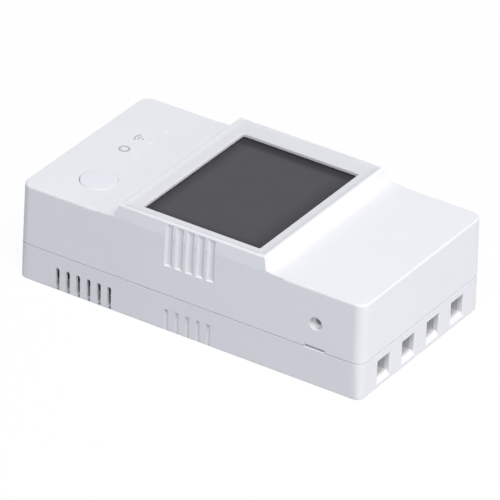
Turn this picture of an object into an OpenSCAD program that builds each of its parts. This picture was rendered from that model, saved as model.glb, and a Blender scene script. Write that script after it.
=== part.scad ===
/* [Housing] */
// Length of the housing, along the wiring
body_l = 98; // [92:1:110]
// Width of the housing
body_w = 54; // [52:1:62]
// Height of the seam between the lower and the upper housing
seam_z = 10; // [9.5:0.1:11]
// Height of the flat top at both ends
flat_z = 26; // [25.5:0.1:28]
// Height of the raised display platform
top_z = 29.6; // [29.2:0.1:33]
// Radius of the upright corners
corner_r = 2.8; // [2.5:0.1:4]
// Thickness of the side walls
wall = 1.8; // [1.6:0.1:2.2]
// Thickness of the floor
floor_t = 1.8; // [1.6:0.1:2.2]
// Thickness of the flat tops
roof_t = 1.8; // [1.6:0.1:2.0]
// Draft of the upper housing, over its whole height
upper_draft = 0.2; // [0.1:0.05:0.4]
// Draft of the lower housing, towards the bottom
lower_draft = 0.2; // [0.1:0.05:0.3]
// Size of the rounding along the top and bottom edges
edge_r = 0.5; // [0.2:0.1:0.6]
// Height of the shadow gap along the seam
seam_gap = 0.35; // [0.2:0.05:0.4]
// Depth of the shadow gap
seam_in = 0.2; // [0.1:0.05:0.4]
// Height of the tongue that locates the upper housing
tongue_h = 1.2; // [0.8:0.1:1.5]
// How far the tongue lies inside the outer face
tongue_in = 1; // [0.9:0.05:1.1]

/* [Display platform] */
// Distance from the platform's top edge to the end of the housing
flat_l = 28.3; // [27.5:0.1:29]
// Inward lean of the platform's long sides
platform_lean = 0.4; // [0.3:0.05:1.0]
// Rounding along the platform's long edges
platform_edge = 0.35; // [0.2:0.05:0.5]
// Inward lean of the platform's end walls
platform_end_lean = 0.7; // [0.3:0.1:1.2]
// Height of the shallow sweep at the foot of the end walls
sweep_h = 0.35; // [0.3:0.05:0.8]
// Length of the shallow sweep
sweep_l = 2.2; // [1.8:0.1:3]
// Rim left around the display frame
rim = 0.7; // [0.6:0.05:0.9]
// Thickness of the display frame, which is how deep the lens lies
frame_t = 1.1; // [0.9:0.05:1.3]
// Width of the display frame's bar towards the push button
bar_left = 4; // [3:0.1:5]
// Width of the display frame's bar towards the wiring
bar_right = 2.7; // [2.5:0.1:4]
// Width of the display frame's bar on the push button's side
bar_front = 2.5; // [1.8:0.1:3]
// Width of the display frame's bar on the other side
bar_back = 5.1; // [3.5:0.1:5.5]
// Thickness of the display lens
lens_t = 1.2; // [1:0.1:1.3]
// How far the lens runs under the frame on each side
lens_lap = 1.5; // [1.2:0.05:1.6]
// Thickness of the ledge that carries the lens
ledge_t = 0.9; // [0.8:0.05:1.1]
// Thickness of the display's glass sheets together
lcd_t = 2.1; // [1.8:0.1:2.4]

/* [Button and lights] */
// Distance from the left end to the push button's middle
button_in = 14.4; // [13:0.1:16]
// Distance from the long side to the push button's middle
button_off = 12.7; // [11:0.1:14]
// Radius of the push button
button_r = 4.55; // [4.5:0.05:5]
// Gap round the push button
button_gap = 0.25; // [0.15:0.05:0.4]
// Travel of the push button
button_travel = 0.4; // [0.3:0.05:0.45]
// Distance from the left end to the status lights
light_in = 14.3; // [13:0.1:16]
// Distance from the push button's middle to the first status light
light_off = 15.7; // [13:0.1:17]
// Distance between the status lights
light_pitch = 6.7; // [5:0.1:7]
// Radius of a status light's window
light_r = 0.6; // [0.5:0.05:0.8]

/* [Vents, grips and seam] */
// Pitch of the vents and of the grip grooves
groove_pitch = 3; // [2.6:0.1:3.2]
// Number of vents on each long side
vents = 6; // [3:1:7]
// Distance from the left end to the first vent
vent_in = 11.5; // [10:0.1:13]
// Width of a vent
vent_w = 1.15; // [0.9:0.05:1.4]
// Height that the vents reach
vent_top = 6.3; // [5:0.1:7]
// Thickness that the wall and the floor keep behind the vents
vent_skin = 0.8; // [0.7:0.05:1.2]
// Number of grip grooves on each long side
grips = 5; // [3:1:6]
// Width of an upper grip groove
grip_w = 2.1; // [1.6:0.05:2.3]
// Depth of an upper grip groove below the platform
grip_depth = 0.35; // [0.25:0.05:0.6]
// Height at which the upper grip grooves start
grip_z = 17.9; // [15:0.1:20]
// Radius of a lower grip groove
low_grip_r = 0.55; // [0.5:0.05:0.8]
// Depth of a lower grip groove
low_grip_depth = 0.85; // [0.6:0.05:0.9]
// Height that the lower grip grooves reach
low_grip_top = 6; // [5:0.1:7]
// Length of the pry notch above the seam
pry_l = 5.7; // [4:0.1:7]
// Height of the pry notch
pry_h = 0.55; // [0.4:0.05:0.8]

/* [Cover screw] */
// Distance from the wired end to the cover screw
screw_in = 13.15; // [12:0.05:14]
// Height of the cover screw above the seam
screw_rise = 7; // [6:0.1:8]
// Radius of the recess for its head
screw_head_r = 1.75; // [1.5:0.05:2]
// Depth of the recess for its head
screw_head_t = 1.4; // [1:0.05:1.5]
// Radius of its clearance hole
screw_r = 0.9; // [0.85:0.05:1]
// Radius of the pilot hole that the screw cuts its thread in
pilot_r = 0.7; // [0.6:0.05:0.75]

/* [Wiring] */
// Distance from an outer pole's middle to the terminal block's end
block_side = 3.9; // [3.7:0.1:4.1]
// Width of a wire entry in the housing
entry_w = 5.5; // [5.2:0.1:5.8]
// Height of the scoop below a wire entry
scoop = 1.5; // [1:0.1:1.6]
// Bevel along the other edges of a wire entry
entry_bevel = 0.4; // [0.2:0.05:0.5]
// Width and height of the wire channel in the terminal block
channel = 4.6; // [4.3:0.1:4.7]
// Thickness of the terminal block's floor
block_floor = 0.85; // [0.7:0.05:1]
// Travel of a release button
release_travel = 1.8; // [1.4:0.1:1.8]
// Thickness of a busbar
busbar_t = 0.8; // [0.6:0.1:0.9]
// Thickness of a clamp spring
spring_t = 0.3; // [0.2:0.05:0.4]

/* [Boards] */
// Thickness of the circuit boards
board_t = 1.6; // [1.2:0.1:1.7]
// Height of the main board above the floor
board_lift = 3.2; // [3:0.1:3.4]
// Gap between the display board and the roof
display_gap = 4.8; // [4.6:0.1:5]
// Height of the main switch under the push button
switch_h = 3.5; // [3.3:0.1:3.6]
// Clearance between pieces that fit into each other
fit = 0.1; // [0.05:0.01:0.15]

/* [Wall hanging] */
// Radius of the keyholes' entry
key_r = 3.6; // [3.3:0.1:3.8]
// Width of the keyholes' slot
key_slot = 3.8; // [3.4:0.1:4.2]
// Distance between the two keyholes
key_pitch = 50; // [46:1:52]
// Distance from a keyhole's entry to its seat
key_run = 6.5; // [5.5:0.1:7]
// Height of the pocket for the head of a wall screw
key_depth = 1.9; // [1.7:0.1:2]

/* [Relay] */
// Width of the relay, along the housing
relay_w = 12.7; // [12:0.1:12.8]
// Length of the relay, across the housing
relay_l = 29; // [28.5:0.1:29.5]
// Height of the relay
relay_h = 15.7; // [15.5:0.1:16]
// Tilt of the armature when it closes
armature_tilt = 4; // [3:0.5:4]

/* [Hidden] */
$fn = 48;
eps = 0.01;

// Colours, as the photo shows them or as such pieces have them
shell_white = [0.93, 0.93, 0.95];
frame_white = [0.88, 0.88, 0.9];
lens_grey = [0.2, 0.2, 0.21];
board_green = [0.1, 0.35, 0.2];
steel = [0.72, 0.73, 0.75];
copper = [0.8, 0.5, 0.3];
tin = [0.8, 0.8, 0.78];
nylon = [0.8, 0.81, 0.8];
black = [0.12, 0.12, 0.13];

// Heights of the stack: the main board on the floor's bosses, the display board under the roof
board_z = floor_t + board_lift;
board_top = board_z + board_t;
roof_z = flat_z - roof_t;
display_top = roof_z - display_gap;
display_z = display_top - board_t;
switch_top = display_top + switch_h + 1.4;
plunger_in = 2.2;
pocket_z = top_z - frame_t;
lens_z = pocket_z - lens_t;
ledge_z = lens_z - ledge_t;
lcd_z = ledge_z - 2 * fit - lcd_t;
half_l = body_l / 2;
half_w = body_w / 2;
inner_x = half_l - wall;
inner_y = half_w - wall;
screw_x = half_l - screw_in;
screw_z = seam_z + screw_rise;

// The platform's top and the frame in it
platform_x = half_l - flat_l;
platform_side = half_w - upper_draft - platform_lean;
frame_half = [platform_x - rim - fit, platform_side - rim - fit];

// The window, its middle and the sizes that follow from it
window_x = 2 * frame_half[0] - bar_left - bar_right;
window_y = 2 * frame_half[1] - bar_front - bar_back;
win = [(bar_left - bar_right) / 2, (bar_front - bar_back) / 2];
lens_half = [window_x / 2 + lens_lap, window_y / 2 + lens_lap];
lcd_x = [win[0] - window_x / 2 - 1.3, win[0] + window_x / 2 + 1.3];
lcd_y = [win[1] - window_y / 2 - 0.8, win[1] + window_y / 2 + 3.3];
strip_y = lcd_y[1] - 0.2;

// Lug behind the cover screw
lug_y = [-(inner_y - 1.4), -(inner_y - 4.2)];
lug_half = 2.8;

// The terminal block stands against the end wall, and the main board ends under its rear part
poles = 4;
block_front = inner_x - fit;
block_rear = block_front - 13.9;
block_step = block_rear + 3.7;
block_top = 14.2;
block_half = -lug_y[1] - 0.6;
pole_pitch = 2 * (block_half - block_side) / (poles - 1);
channel_z = floor_t + block_floor;
channel_top = channel_z + channel;
entry_z = channel_z - 0.25;
entry_top = channel_top + 0.25;
slot_half = 1.4;
lever_x = block_rear + 6.7;
nose = [lever_x - 1.1, lever_x + 1.1];
spring_front = block_rear + 9.8;

// Relay, in front of the terminal block
relay_x = block_rear - 1.1 - relay_w;
relay_mid = relay_x + relay_w / 2;
relay_y = relay_l / 2;
relay_top = board_top + relay_h;
coil_r = (relay_h - 6.5) / 2;
coil_z = relay_top - 3.5 - coil_r;
coil_rear = -relay_y + 2.1;
yoke_rear = -relay_y + 0.8;
yoke_half = relay_w / 2 - 1.55;
hinge_y = relay_y - 9.3;
hinge_z = relay_top - 2;
relay_pin_at = [
    [relay_mid - 4, 3.5 - relay_y], [relay_mid + 4, 3.5 - relay_y],
    [relay_mid - 4, relay_y - 6.9], [relay_mid + 4, relay_y - 2]];

// Outlines of the boards and the four standoffs that join them
board_start = -inner_x + 0.6;
board_half = inner_y - 0.6;
board_end = block_step - 0.3;
display_end = relay_x - 0.5;
ear_end = display_end + 5.6;
ear_in = relay_y + 2.2;
standoff_at = [
    [board_start + 3.6, board_half - 3.3], [board_start + 3.6, -(board_half - 3.3)],
    [display_end + 2.6, board_half - 4.1], [display_end + 2.6, -(board_half - 4.1)]];
boss_bore = 1.25;
stud_r = 1.2;
side_mid = (relay_y + board_half) / 2;

// Header between the boards, at the usual pitch
link_x = board_start + 30.6;
link_y = -board_half + 2.2;
link_pitch = 2.54;
link_count = 8;
pin_w = 0.64;

// Both keyholes: where the seats lie, and the walls round the pockets
key_mid = -5;
key_wall = 1.2;
key_entries = [for (s = [-1, 1]) key_mid + s * key_pitch / 2 + key_run];
pocket_r = key_r + 0.1;

// The button's sleeve and the lights' sleeves under the roof
skirt = 1.6;
flange_r = button_r + 0.85;
guide_r = button_r + button_gap + 1.9;
pipe_head_r = 1.5;

button_x = -half_l + button_in;
button_y = -half_w + button_off;
light_x = -half_l + light_in;
light_y = button_y + light_off;

// Places of the taller pieces on the main board
radio_x = board_start + 2.6;
bulk_x = board_start + 26.6;
output_x = board_start + 34.6;
trafo = [relay_x - 23.4, 13];
film_x = relay_x - 8.9;
shunt_x = relay_x - 11.4;

function unit(v) = v / norm(v);

// Points of the arc that rounds corner b between a and c with radius r
function corner(a, b, c, r, n = 5) =
    let (u = unit(a - b), v = unit(c - b), half = acos(u * v) / 2,
         middle = b + unit(u + v) * r / sin(half),
         from = b + u * r / tan(half) - middle, to = b + v * r / tan(half) - middle)
    [for (i = [0:n]) middle + r * unit(from * (n - i) + to * i)];

// A closed outline whose corner i is rounded with radius r[i], or left sharp at 0
function rounded(p, r) = [
    for (i = [0:len(p) - 1])
        each r[i] == 0 ? [p[i]]
            : corner(p[(i + len(p) - 1) % len(p)], p[i], p[(i + 1) % len(p)], r[i])];

// Half width of the upper housing at height z
function side_at(z) = half_w - upper_draft * (z - seam_z) / (flat_z - seam_z);

module round_rect(l, w, r) {
    square([l - 2 * r, w], center = true);
    square([l, w - 2 * r], center = true);
    for (sx = [-1, 1], sy = [-1, 1])
        translate([sx * (l / 2 - r), sy * (w / 2 - r)]) circle(r);
}

module plate(l, w, r, z0, z1) {
    translate([0, 0, z0]) linear_extrude(z1 - z0) round_rect(l, w, r);
}

module box(low, high) {
    translate(low) cube(high - low);
}

// A plane outline in x and z, drawn across the width from y0 to y1
module across(y0, y1) {
    translate([0, y1, 0]) rotate([90, 0, 0]) linear_extrude(y1 - y0) children();
}

module both_sides() {
    children();
    mirror([0, 1, 0]) children();
}

function pole_y(i) = (i - (poles + 1) / 2) * pole_pitch;

// The ring cut out of both housings along the seam
module seam_ring(z0, z1) {
    difference() {
        plate(body_l + 2, body_w + 2, corner_r, z0, z1);
        plate(body_l - 2 * seam_in, body_w - 2 * seam_in, corner_r - seam_in, z0 - eps, z1 + eps);
    }
}

// A keyhole's outline: the entry, the seat and the slot between them
module keyhole(entry_r, seat_r) {
    circle(entry_r);
    translate([-key_run, 0]) circle(seat_r);
    translate([-key_run, -seat_r]) square([key_run, 2 * seat_r]);
}

// The outside of the lower housing: rounded bottom edge and straight draft, widest at the seam
module lower_skin() hull() {
    for (a = [0, 30, 60, 90]) {
        in = lower_draft + edge_r * (1 - sin(a));
        z = edge_r * (1 - cos(a));
        plate(body_l - 2 * in, body_w - 2 * in, corner_r, z, z + eps, $fn = 32);
    }
    plate(body_l, body_w, corner_r, seam_z - eps, seam_z, $fn = 32);
}

// The lower housing carries everything: vents, wire entries, bosses and the lug for the screw
module lower_housing() color(shell_white) difference() {
    union() {
        difference() {
            union() {
                lower_skin();
                // tongue that locates the upper housing
                plate(body_l - 2 * tongue_in, body_w - 2 * tongue_in, corner_r - tongue_in,
                      seam_z - 2, seam_z + tongue_h);
            }
            plate(2 * inner_x, 2 * inner_y, corner_r - wall, floor_t, seam_z + 2);
        }
        for (p = standoff_at) translate([p[0], p[1], floor_t]) cylinder(h = board_lift, r = 2.6);
        // lug behind the cover screw, with its gusset
        across(lug_y[0], lug_y[1])
            polygon(rounded(
                [[screw_x - lug_half, floor_t], [screw_x + lug_half, floor_t],
                 [screw_x + lug_half, screw_z + 2.4], [screw_x - lug_half, screw_z + 2.4]],
                [0, 0, 1.6, 1.6]));
        box([screw_x - 0.6, -inner_y - 0.2, floor_t], [screw_x + 0.6, lug_y[0] + 0.2, seam_z]);
        // closed pockets over the keyholes
        for (x = key_entries) translate([x, 0, floor_t])
            linear_extrude(key_depth + 0.9) keyhole(pocket_r + key_wall, pocket_r + key_wall);
    }
    seam_ring(seam_z - seam_gap / 2, seam_z + eps);
    for (x = key_entries) translate([x, 0, 0]) {
        translate([0, 0, -1]) linear_extrude(floor_t + 1 + eps) keyhole(key_r, key_slot / 2);
        translate([0, 0, floor_t]) linear_extrude(key_depth) keyhole(pocket_r, pocket_r);
    }
    for (p = standoff_at) translate([p[0], p[1], floor_t + 0.4])
        cylinder(h = board_lift, r = boss_bore);
    translate([screw_x, lug_y[1] + 1, screw_z]) rotate([90, 0, 0])
        cylinder(h = lug_y[1] - lug_y[0] + 2, r = pilot_r);
    both_sides() {
        // the wall and the floor are thinner behind the vents
        box([vent_in - half_l - 1.5, lower_draft + vent_skin - half_w, vent_skin],
            [vent_in - half_l + (vents - 1) * groove_pitch + 1.5, 2 - inner_y, vent_top + 0.5]);
        for (i = [0:vents - 1]) {
            x = -half_l + vent_in + i * groove_pitch;
            box([x - vent_w / 2, -half_w - 1, -1],
                [x + vent_w / 2, -inner_y + 1.4, vent_top - vent_w / 2]);
            translate([x, -inner_y + 1.4, vent_top - vent_w / 2]) rotate([90, 0, 0])
                cylinder(h = wall + 3, r = vent_w / 2);
        }
        for (i = [0:grips - 1])
            translate([(i - (grips - 1) / 2) * groove_pitch,
                       -half_w - low_grip_r + low_grip_depth, -1])
                cylinder(h = low_grip_top + 1, r = low_grip_r);
    }
    // wire entries, each with a bevelled edge and a scoop below it
    for (i = [1:poles]) translate([0, pole_y(i), 0]) intersection() {
        across(-entry_w, entry_w)
            polygon([[inner_x - 1, entry_z], [half_l - 1, entry_z], [half_l, entry_z - scoop],
                     [half_l + 1, entry_z - scoop], [half_l + 1, entry_top + entry_bevel],
                     [half_l, entry_top + entry_bevel], [half_l - entry_bevel, entry_top],
                     [inner_x - 1, entry_top]]);
        linear_extrude(seam_z)
            polygon([[inner_x - 1, -entry_w / 2], [half_l - entry_bevel, -entry_w / 2],
                     [half_l, -entry_w / 2 - entry_bevel], [half_l + 1, -entry_w / 2 - entry_bevel],
                     [half_l + 1, entry_w / 2 + entry_bevel], [half_l, entry_w / 2 + entry_bevel],
                     [half_l - entry_bevel, entry_w / 2], [inner_x - 1, entry_w / 2]]);
    }
}

// Outline of the platform in x and z: end walls with a shallow sweep at the foot
module platform_outline() {
    foot = platform_x + platform_end_lean;
    low = flat_z - 1;
    right = [[platform_x, top_z], [foot, flat_z + sweep_h], [foot + sweep_l, flat_z],
             [foot + sweep_l + 3, flat_z], [foot + sweep_l + 3, low]];
    left = [for (i = [len(right) - 1:-1:0]) [-right[i][0], right[i][1]]];
    polygon(rounded(concat(right, left), [0.6, 0.8, 8, 0, 0, 0, 0, 8, 0.8, 0.6]));
}

// The outside of the flat housing: straight draft and a rounded top edge
module upper_skin() {
    hull() {
        plate(body_l, body_w, corner_r, seam_z, seam_z + eps, $fn = 32);
        for (a = [0, 30, 60, 90]) {
            in = upper_draft + edge_r * (1 - cos(a));
            z = flat_z - edge_r * (1 - sin(a));
            plate(body_l - 2 * in, body_w - 2 * in, corner_r, z - eps, z, $fn = 32);
        }
    }
    intersection() {
        across(-half_w, half_w) platform_outline();
        rotate([90, 0, 90]) linear_extrude(body_l, center = true)
            polygon(rounded(
                [[-side_at(flat_z - 1), flat_z - 1], [side_at(flat_z - 1), flat_z - 1],
                 [side_at(flat_z), flat_z], [platform_side, top_z],
                 [-platform_side, top_z], [-side_at(flat_z), flat_z]],
                [0, 0, 0, platform_edge, platform_edge, 0]));
    }
}

// A groove of trapezoid section along Z, open towards -Y, with a slope at its lower end
module groove(w, depth, h) intersection() {
    linear_extrude(h) polygon([[-w / 2 - 0.6, -1], [-w / 2, 0], [0.35 * depth - w / 4, depth],
                               [w / 4 - 0.35 * depth, depth], [w / 2, 0], [w / 2 + 0.6, -1]]);
    rotate([90, 0, 90]) linear_extrude(2 * w, center = true)
        polygon([[-1, -1], [depth, 0.8 * depth], [depth, h], [-1, h]]);
}

module sleeve(outer, inner, h) difference() {
    cylinder(h = h, r = outer);
    translate([0, 0, -1]) cylinder(h = h + 2, r = inner);
}

// The upper housing is one moulding with the raised platform in its middle
module upper_housing() color(shell_white) difference() {
    boss_l = 1.2;
    step_in = tongue_in - fit;
    union() {
        difference() {
            upper_skin();
            plate(2 * inner_x, 2 * inner_y, corner_r - wall, seam_z - 1, roof_z);
            // the wall steps back over the lower housing's tongue
            plate(body_l - 2 * step_in, body_w - 2 * step_in, corner_r - step_in,
                  seam_z - 1, seam_z + tongue_h + fit);
            box([-platform_x + 1.5, -inner_y + 1, roof_z - 1],
                [platform_x - 1.5, inner_y - 1, ledge_z]);
        }
        // boss round the cover screw's hole
        translate([screw_x, -inner_y - 0.5, screw_z]) rotate([-90, 0, 0])
            cylinder(h = boss_l + 0.5, r = screw_head_r + 1.1);
        // guide rib round the push button and sleeves round the light pipes
        translate([button_x, button_y, roof_z - skirt]) sleeve(guide_r, guide_r - 0.9, skirt + 0.1);
        for (i = [0:2]) translate([light_x, light_y + i * light_pitch, roof_z - skirt])
            sleeve(pipe_head_r + 0.9, pipe_head_r + fit, skirt + 0.1);
        // stiffening ribs under the right flat
        for (s = [-1, 0, 1]) box([platform_x + 2, s * inner_y * 2 / 3 - 0.5, roof_z - 1.2],
                                 [inner_x - 1, s * inner_y * 2 / 3 + 0.5, roof_z + 0.1]);
    }
    seam_ring(seam_z - 1, seam_z + seam_gap / 2);
    // pocket for the frame, rebate for the lens and the opening below it
    plate(2 * (frame_half[0] + fit), 2 * (frame_half[1] + fit), 0.9 + fit, pocket_z, top_z + 1);
    translate([win[0], win[1], 0]) {
        plate(2 * lens_half[0] + 2 * fit, 2 * lens_half[1] + 2 * fit, 0.6, lens_z, top_z + 1);
        plate(window_x + 1, window_y + 1, 0.5, ledge_z - 1, lens_z + 1);
    }
    // button, lights, screw and pry notch
    translate([button_x, button_y, roof_z - 2]) cylinder(h = 6, r = button_r + button_gap);
    for (i = [0:2]) translate([light_x, light_y + i * light_pitch, roof_z - 2])
        cylinder(h = 6, r = light_r + fit / 2);
    translate([screw_x, -half_w - 1, screw_z]) rotate([-90, 0, 0]) {
        cylinder(h = 1 + upper_draft / 2 + screw_head_t, r = screw_head_r);
        cylinder(h = 6, r = screw_r);
    }
    box([screw_x - pry_l / 2, -half_w - 1, seam_z - 1],
        [screw_x + pry_l / 2, -half_w + tongue_in, seam_z + seam_gap / 2 + pry_h]);
    // grip grooves, which stop below the platform's rim
    both_sides() for (i = [0:grips - 1])
        translate([(i - (grips - 1) / 2) * groove_pitch, -side_at(flat_z), grip_z])
            groove(grip_w, grip_depth, top_z - 0.5 - grip_z);
}

// The frame lies in the platform's pocket and holds the lens down
module display_frame() color(frame_white) difference() {
    plate(2 * frame_half[0], 2 * frame_half[1], 0.9, pocket_z, top_z);
    translate([win[0], win[1], 0]) plate(window_x, window_y, 0.4, pocket_z - 1, top_z + 1);
}

module display_lens() color(lens_grey) translate([win[0], win[1], 0])
    plate(2 * lens_half[0], 2 * lens_half[1], 0.5, lens_z, pocket_z);

// A cup with a flange that stops it under the roof and a post that meets the switch
module main_button() color(shell_white) translate([button_x, button_y, 0]) {
    cup = 1.3;
    proud = 0.1;
    rotate_extrude() polygon([
        [0, flat_z - cup], [0, flat_z + proud], [button_r - 0.25, flat_z + proud],
        [button_r, flat_z - 0.1], [button_r, roof_z], [flange_r, roof_z],
        [flange_r, roof_z - 0.8], [button_r - 1.2, roof_z - 0.8],
        [button_r - 1.2, flat_z - cup]]);
    translate([0, 0, switch_top]) cylinder(h = flat_z - cup - switch_top + eps, r = 1.5);
}

module light_pipe(i) color([0.95, 0.96, 0.97])
    translate([light_x, light_y + (i - 1) * light_pitch, 0]) {
        translate([0, 0, roof_z - 0.9]) cylinder(h = 0.9, r = pipe_head_r);
        translate([0, 0, roof_z - eps]) cylinder(h = roof_t + eps, r = light_r);
        translate([0, 0, display_top + 1.1]) cylinder(h = display_gap - 1.9, r = 1);
    }

// Two glass sheets; the lower one runs on past the upper one over the contact strip
module lcd_panel() color([0.3, 0.32, 0.33]) {
    box([lcd_x[0], lcd_y[0], lcd_z], [lcd_x[1], lcd_y[1], lcd_z + lcd_t / 2]);
    box([lcd_x[0], lcd_y[0], lcd_z + lcd_t / 2 - eps],
        [lcd_x[1], lcd_y[1] - 2.4, lcd_z + lcd_t]);
}

module light_box() color([0.92, 0.92, 0.9]) difference() {
    box([lcd_x[0] + 0.2, lcd_y[0] + 0.2, display_top], [lcd_x[1] - 0.2, strip_y - 2, lcd_z]);
    box([lcd_x[0] + 1.6, lcd_y[0] + 1.6, display_top - 1],
        [lcd_x[1] - 1.6, strip_y - 3.4, lcd_z - 1]);
}

module contact_strip() color([0.75, 0.45, 0.5])
    box([lcd_x[0] + 2, strip_y - 1.7, display_top], [lcd_x[1] - 2, strip_y - 0.1, lcd_z]);

// The header's pins, or with a larger width the holes for them
module link_pin_row(w, z0, z1) {
    for (i = [0:link_count - 1]) translate([link_x + i * link_pitch, link_y, 0])
        box([-w / 2, -w / 2, z0], [w / 2, w / 2, z1]);
}

module display_board() color(board_green) difference() {
    union() {
        translate([(board_start + display_end) / 2, 0, 0])
            plate(display_end - board_start, 2 * board_half, 1.5, display_z, display_top);
        both_sides() box([display_end - 3, ear_in, display_z],
                         [ear_end, board_half, display_top]);
    }
    for (p = standoff_at) translate([p[0], p[1], display_z - 1]) cylinder(h = 5, r = 1.2);
    link_pin_row(pin_w + 0.2, display_z - 1, display_top + 1);
}

module backlight_leds() color([0.95, 0.93, 0.75])
    for (sx = [-1, 1], sy = [-1, 1])
        translate([win[0] + sx * window_x / 4, win[1] + sy * window_y / 4, display_top])
            translate([-1.4, -1.75, 0]) cube([2.8, 3.5, 0.4 * (lcd_z - display_top)]);

module status_leds() color([0.9, 0.9, 0.85])
    for (i = [0:2]) translate([light_x, light_y + i * light_pitch, display_top])
        translate([-0.62, -1, 0]) cube([1.25, 2, 0.8]);

module switch_body() color(black) translate([button_x, button_y, display_top]) difference() {
    translate([-3, -3, 0]) cube([6, 6, switch_h]);
    translate([0, 0, plunger_in - button_travel - 0.3]) cylinder(h = switch_h, r = 1.8);
}

module switch_plunger() color([0.5, 0.3, 0.2]) translate([button_x, button_y, 0])
    translate([0, 0, display_top + plunger_in])
        cylinder(h = switch_top - display_top - plunger_in, r = 1.75);

module radio_board() color([0.12, 0.14, 0.16])
    box([radio_x, -9, display_z - 0.8], [radio_x + 18, 9, display_z]);

module radio_shield() color(steel)
    box([radio_x + 5.5, -8, display_z - 3.2], [radio_x + 17.5, 8, display_z - 0.8]);

module main_board() color(board_green) difference() {
    translate([(board_start + board_end) / 2, 0, 0])
        plate(board_end - board_start, 2 * board_half, 1.5, board_z, board_top);
    for (p = standoff_at) translate([p[0], p[1], board_z - 1]) cylinder(h = 5, r = 1.3);
    link_pin_row(pin_w + 0.2, board_z - 1, board_top + 1);
    for (i = [1:poles]) translate([block_rear + 1.2, pole_y(i), 0])
        box([-0.6, -0.8, board_z - 1], [0.6, 0.8, board_top + 1]);
    for (p = relay_pin_at) translate([p[0], p[1], board_z - 1]) cylinder(h = 5, r = 0.6);
    // room for the lug behind the cover screw
    box([screw_x - lug_half - 0.3, -half_w, board_z - 1],
        [board_end + 1, lug_y[1] + 0.3, board_top + 1]);
}

// Hexagonal standoffs: the stud goes through the main board into the housing's boss
module board_standoffs() color([0.78, 0.65, 0.35])
    for (p = standoff_at) translate([p[0], p[1], 0]) difference() {
        union() {
            translate([0, 0, board_top]) cylinder(h = display_z - board_top, r = 2.3, $fn = 6);
            translate([0, 0, board_z - 2.4]) cylinder(h = board_t + 2.4 + eps, r = stud_r);
        }
        translate([0, 0, display_z - 5]) cylinder(h = 6, r = 1.05);
    }

module display_screws() color(steel)
    for (p = standoff_at) translate([p[0], p[1], 0]) {
        translate([0, 0, display_z - 4]) cylinder(h = board_t + 4 + eps, r = 1);
        difference() {
            translate([0, 0, display_top]) cylinder(h = 1.3, r = 1.9);
            for (a = [0, 90]) translate([0, 0, display_top + 1]) rotate([0, 0, a])
                translate([-1.1, -0.2, -0.2]) cube([2.2, 0.4, 1]);
        }
    }

module link_header() color(black) difference() {
    l0 = link_x - link_pitch / 2;
    l1 = link_x + (link_count - 0.5) * link_pitch;
    union() {
        box([l0, link_y - 1.25, board_top], [l1, link_y + 1.25, board_top + 2.5]);
        box([l0, link_y - 1.25, display_z - 2.5], [l1, link_y + 1.25, display_z]);
    }
    link_pin_row(pin_w + 0.02, board_top - 1, display_z + 1);
}

module link_pins() color([0.85, 0.75, 0.4]) link_pin_row(pin_w, board_z - 1, display_top - 0.1);

module terminal_block() color(nylon) difference() {
    funnel = 5;
    across(-block_half, block_half)
        polygon([[block_rear, board_top], [block_step, board_top], [block_step, floor_t],
                 [block_front, floor_t], [block_front, block_top - 1.5],
                 [block_front - 1.5, block_top], [block_rear, block_top]]);
    for (i = [1:poles]) translate([0, pole_y(i), 0]) {
        box([block_step + 0.8, -channel / 2, channel_z],
            [block_front + 1, channel / 2, channel_top]);
        // funnel from the wire entry into the channel
        intersection() {
            across(-entry_w, entry_w)
                polygon([[block_front - funnel, channel_z], [block_front - 3, channel_z],
                         [block_front, entry_z], [block_front + 1, entry_z],
                         [block_front + 1, entry_top], [block_front, entry_top],
                         [block_front - 3, channel_top], [block_front - funnel, channel_top]]);
            linear_extrude(block_top)
                polygon([[block_front - funnel, -channel / 2], [block_front, -entry_w / 2],
                         [block_front + 1, -entry_w / 2], [block_front + 1, entry_w / 2],
                         [block_front, entry_w / 2], [block_front - funnel, channel / 2]]);
        }
        box([block_rear + 0.7, -2.6, channel_top - eps],
            [block_rear + 10.9, 2.6, channel_top + busbar_t + 0.1]);
        box([block_rear + 0.7, -0.7, board_top - 1], [block_rear + 1.7, 0.7, channel_top]);
        // guide for the release button, narrower at the top
        box([lever_x - 3.6, -3.2, channel_top + busbar_t], [lever_x + 3.6, 3.2, block_top - 1.6]);
        box([lever_x - 2.9, -2.6, channel_top], [lever_x + 2.9, 2.6, block_top + 1]);
    }
}

// A copper strip over the wire channel, with a slot for the button's nose and a pin
module busbar(i) color(copper) translate([0, pole_y(i), 0]) {
    difference() {
        box([block_rear + 0.8, -2.5, channel_top], [block_rear + 10.8, 2.5,
                                                    channel_top + busbar_t]);
        box([nose[0] - 0.3, -slot_half, channel_top - 1],
            [nose[1] + 0.3, slot_half, channel_top + 2]);
    }
    box([block_rear + 0.8, -0.6, board_z - 0.8], [block_rear + 1.6, 0.6, channel_top + eps]);
}

// A leaf bent into a V: one leg on the channel's floor, the free leg up to the busbar
module clamp_spring(i) color(steel) translate([0, pole_y(i), 0]) {
    bend_r = 0.8;
    inner_r = bend_r - spring_t;
    lean = 60;
    bend = [spring_front, channel_z + bend_r];
    along = [-sin(lean), cos(lean)];
    out = [cos(lean), sin(lean)];
    reach = (channel_top - 0.15 - bend[1] - bend_r * out[1]) / along[1];
    heel = block_step + 1.2;
    across(-1.9, 1.9) polygon(concat(
        [[heel, channel_z]],
        [for (a = [-90:15:lean]) bend + bend_r * [cos(a), sin(a)]],
        [bend + bend_r * out + reach * along, bend + inner_r * out + reach * along],
        [for (a = [lean:-15:-90]) bend + inner_r * [cos(a), sin(a)]],
        [[heel, channel_z + spring_t]]));
}

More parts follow.
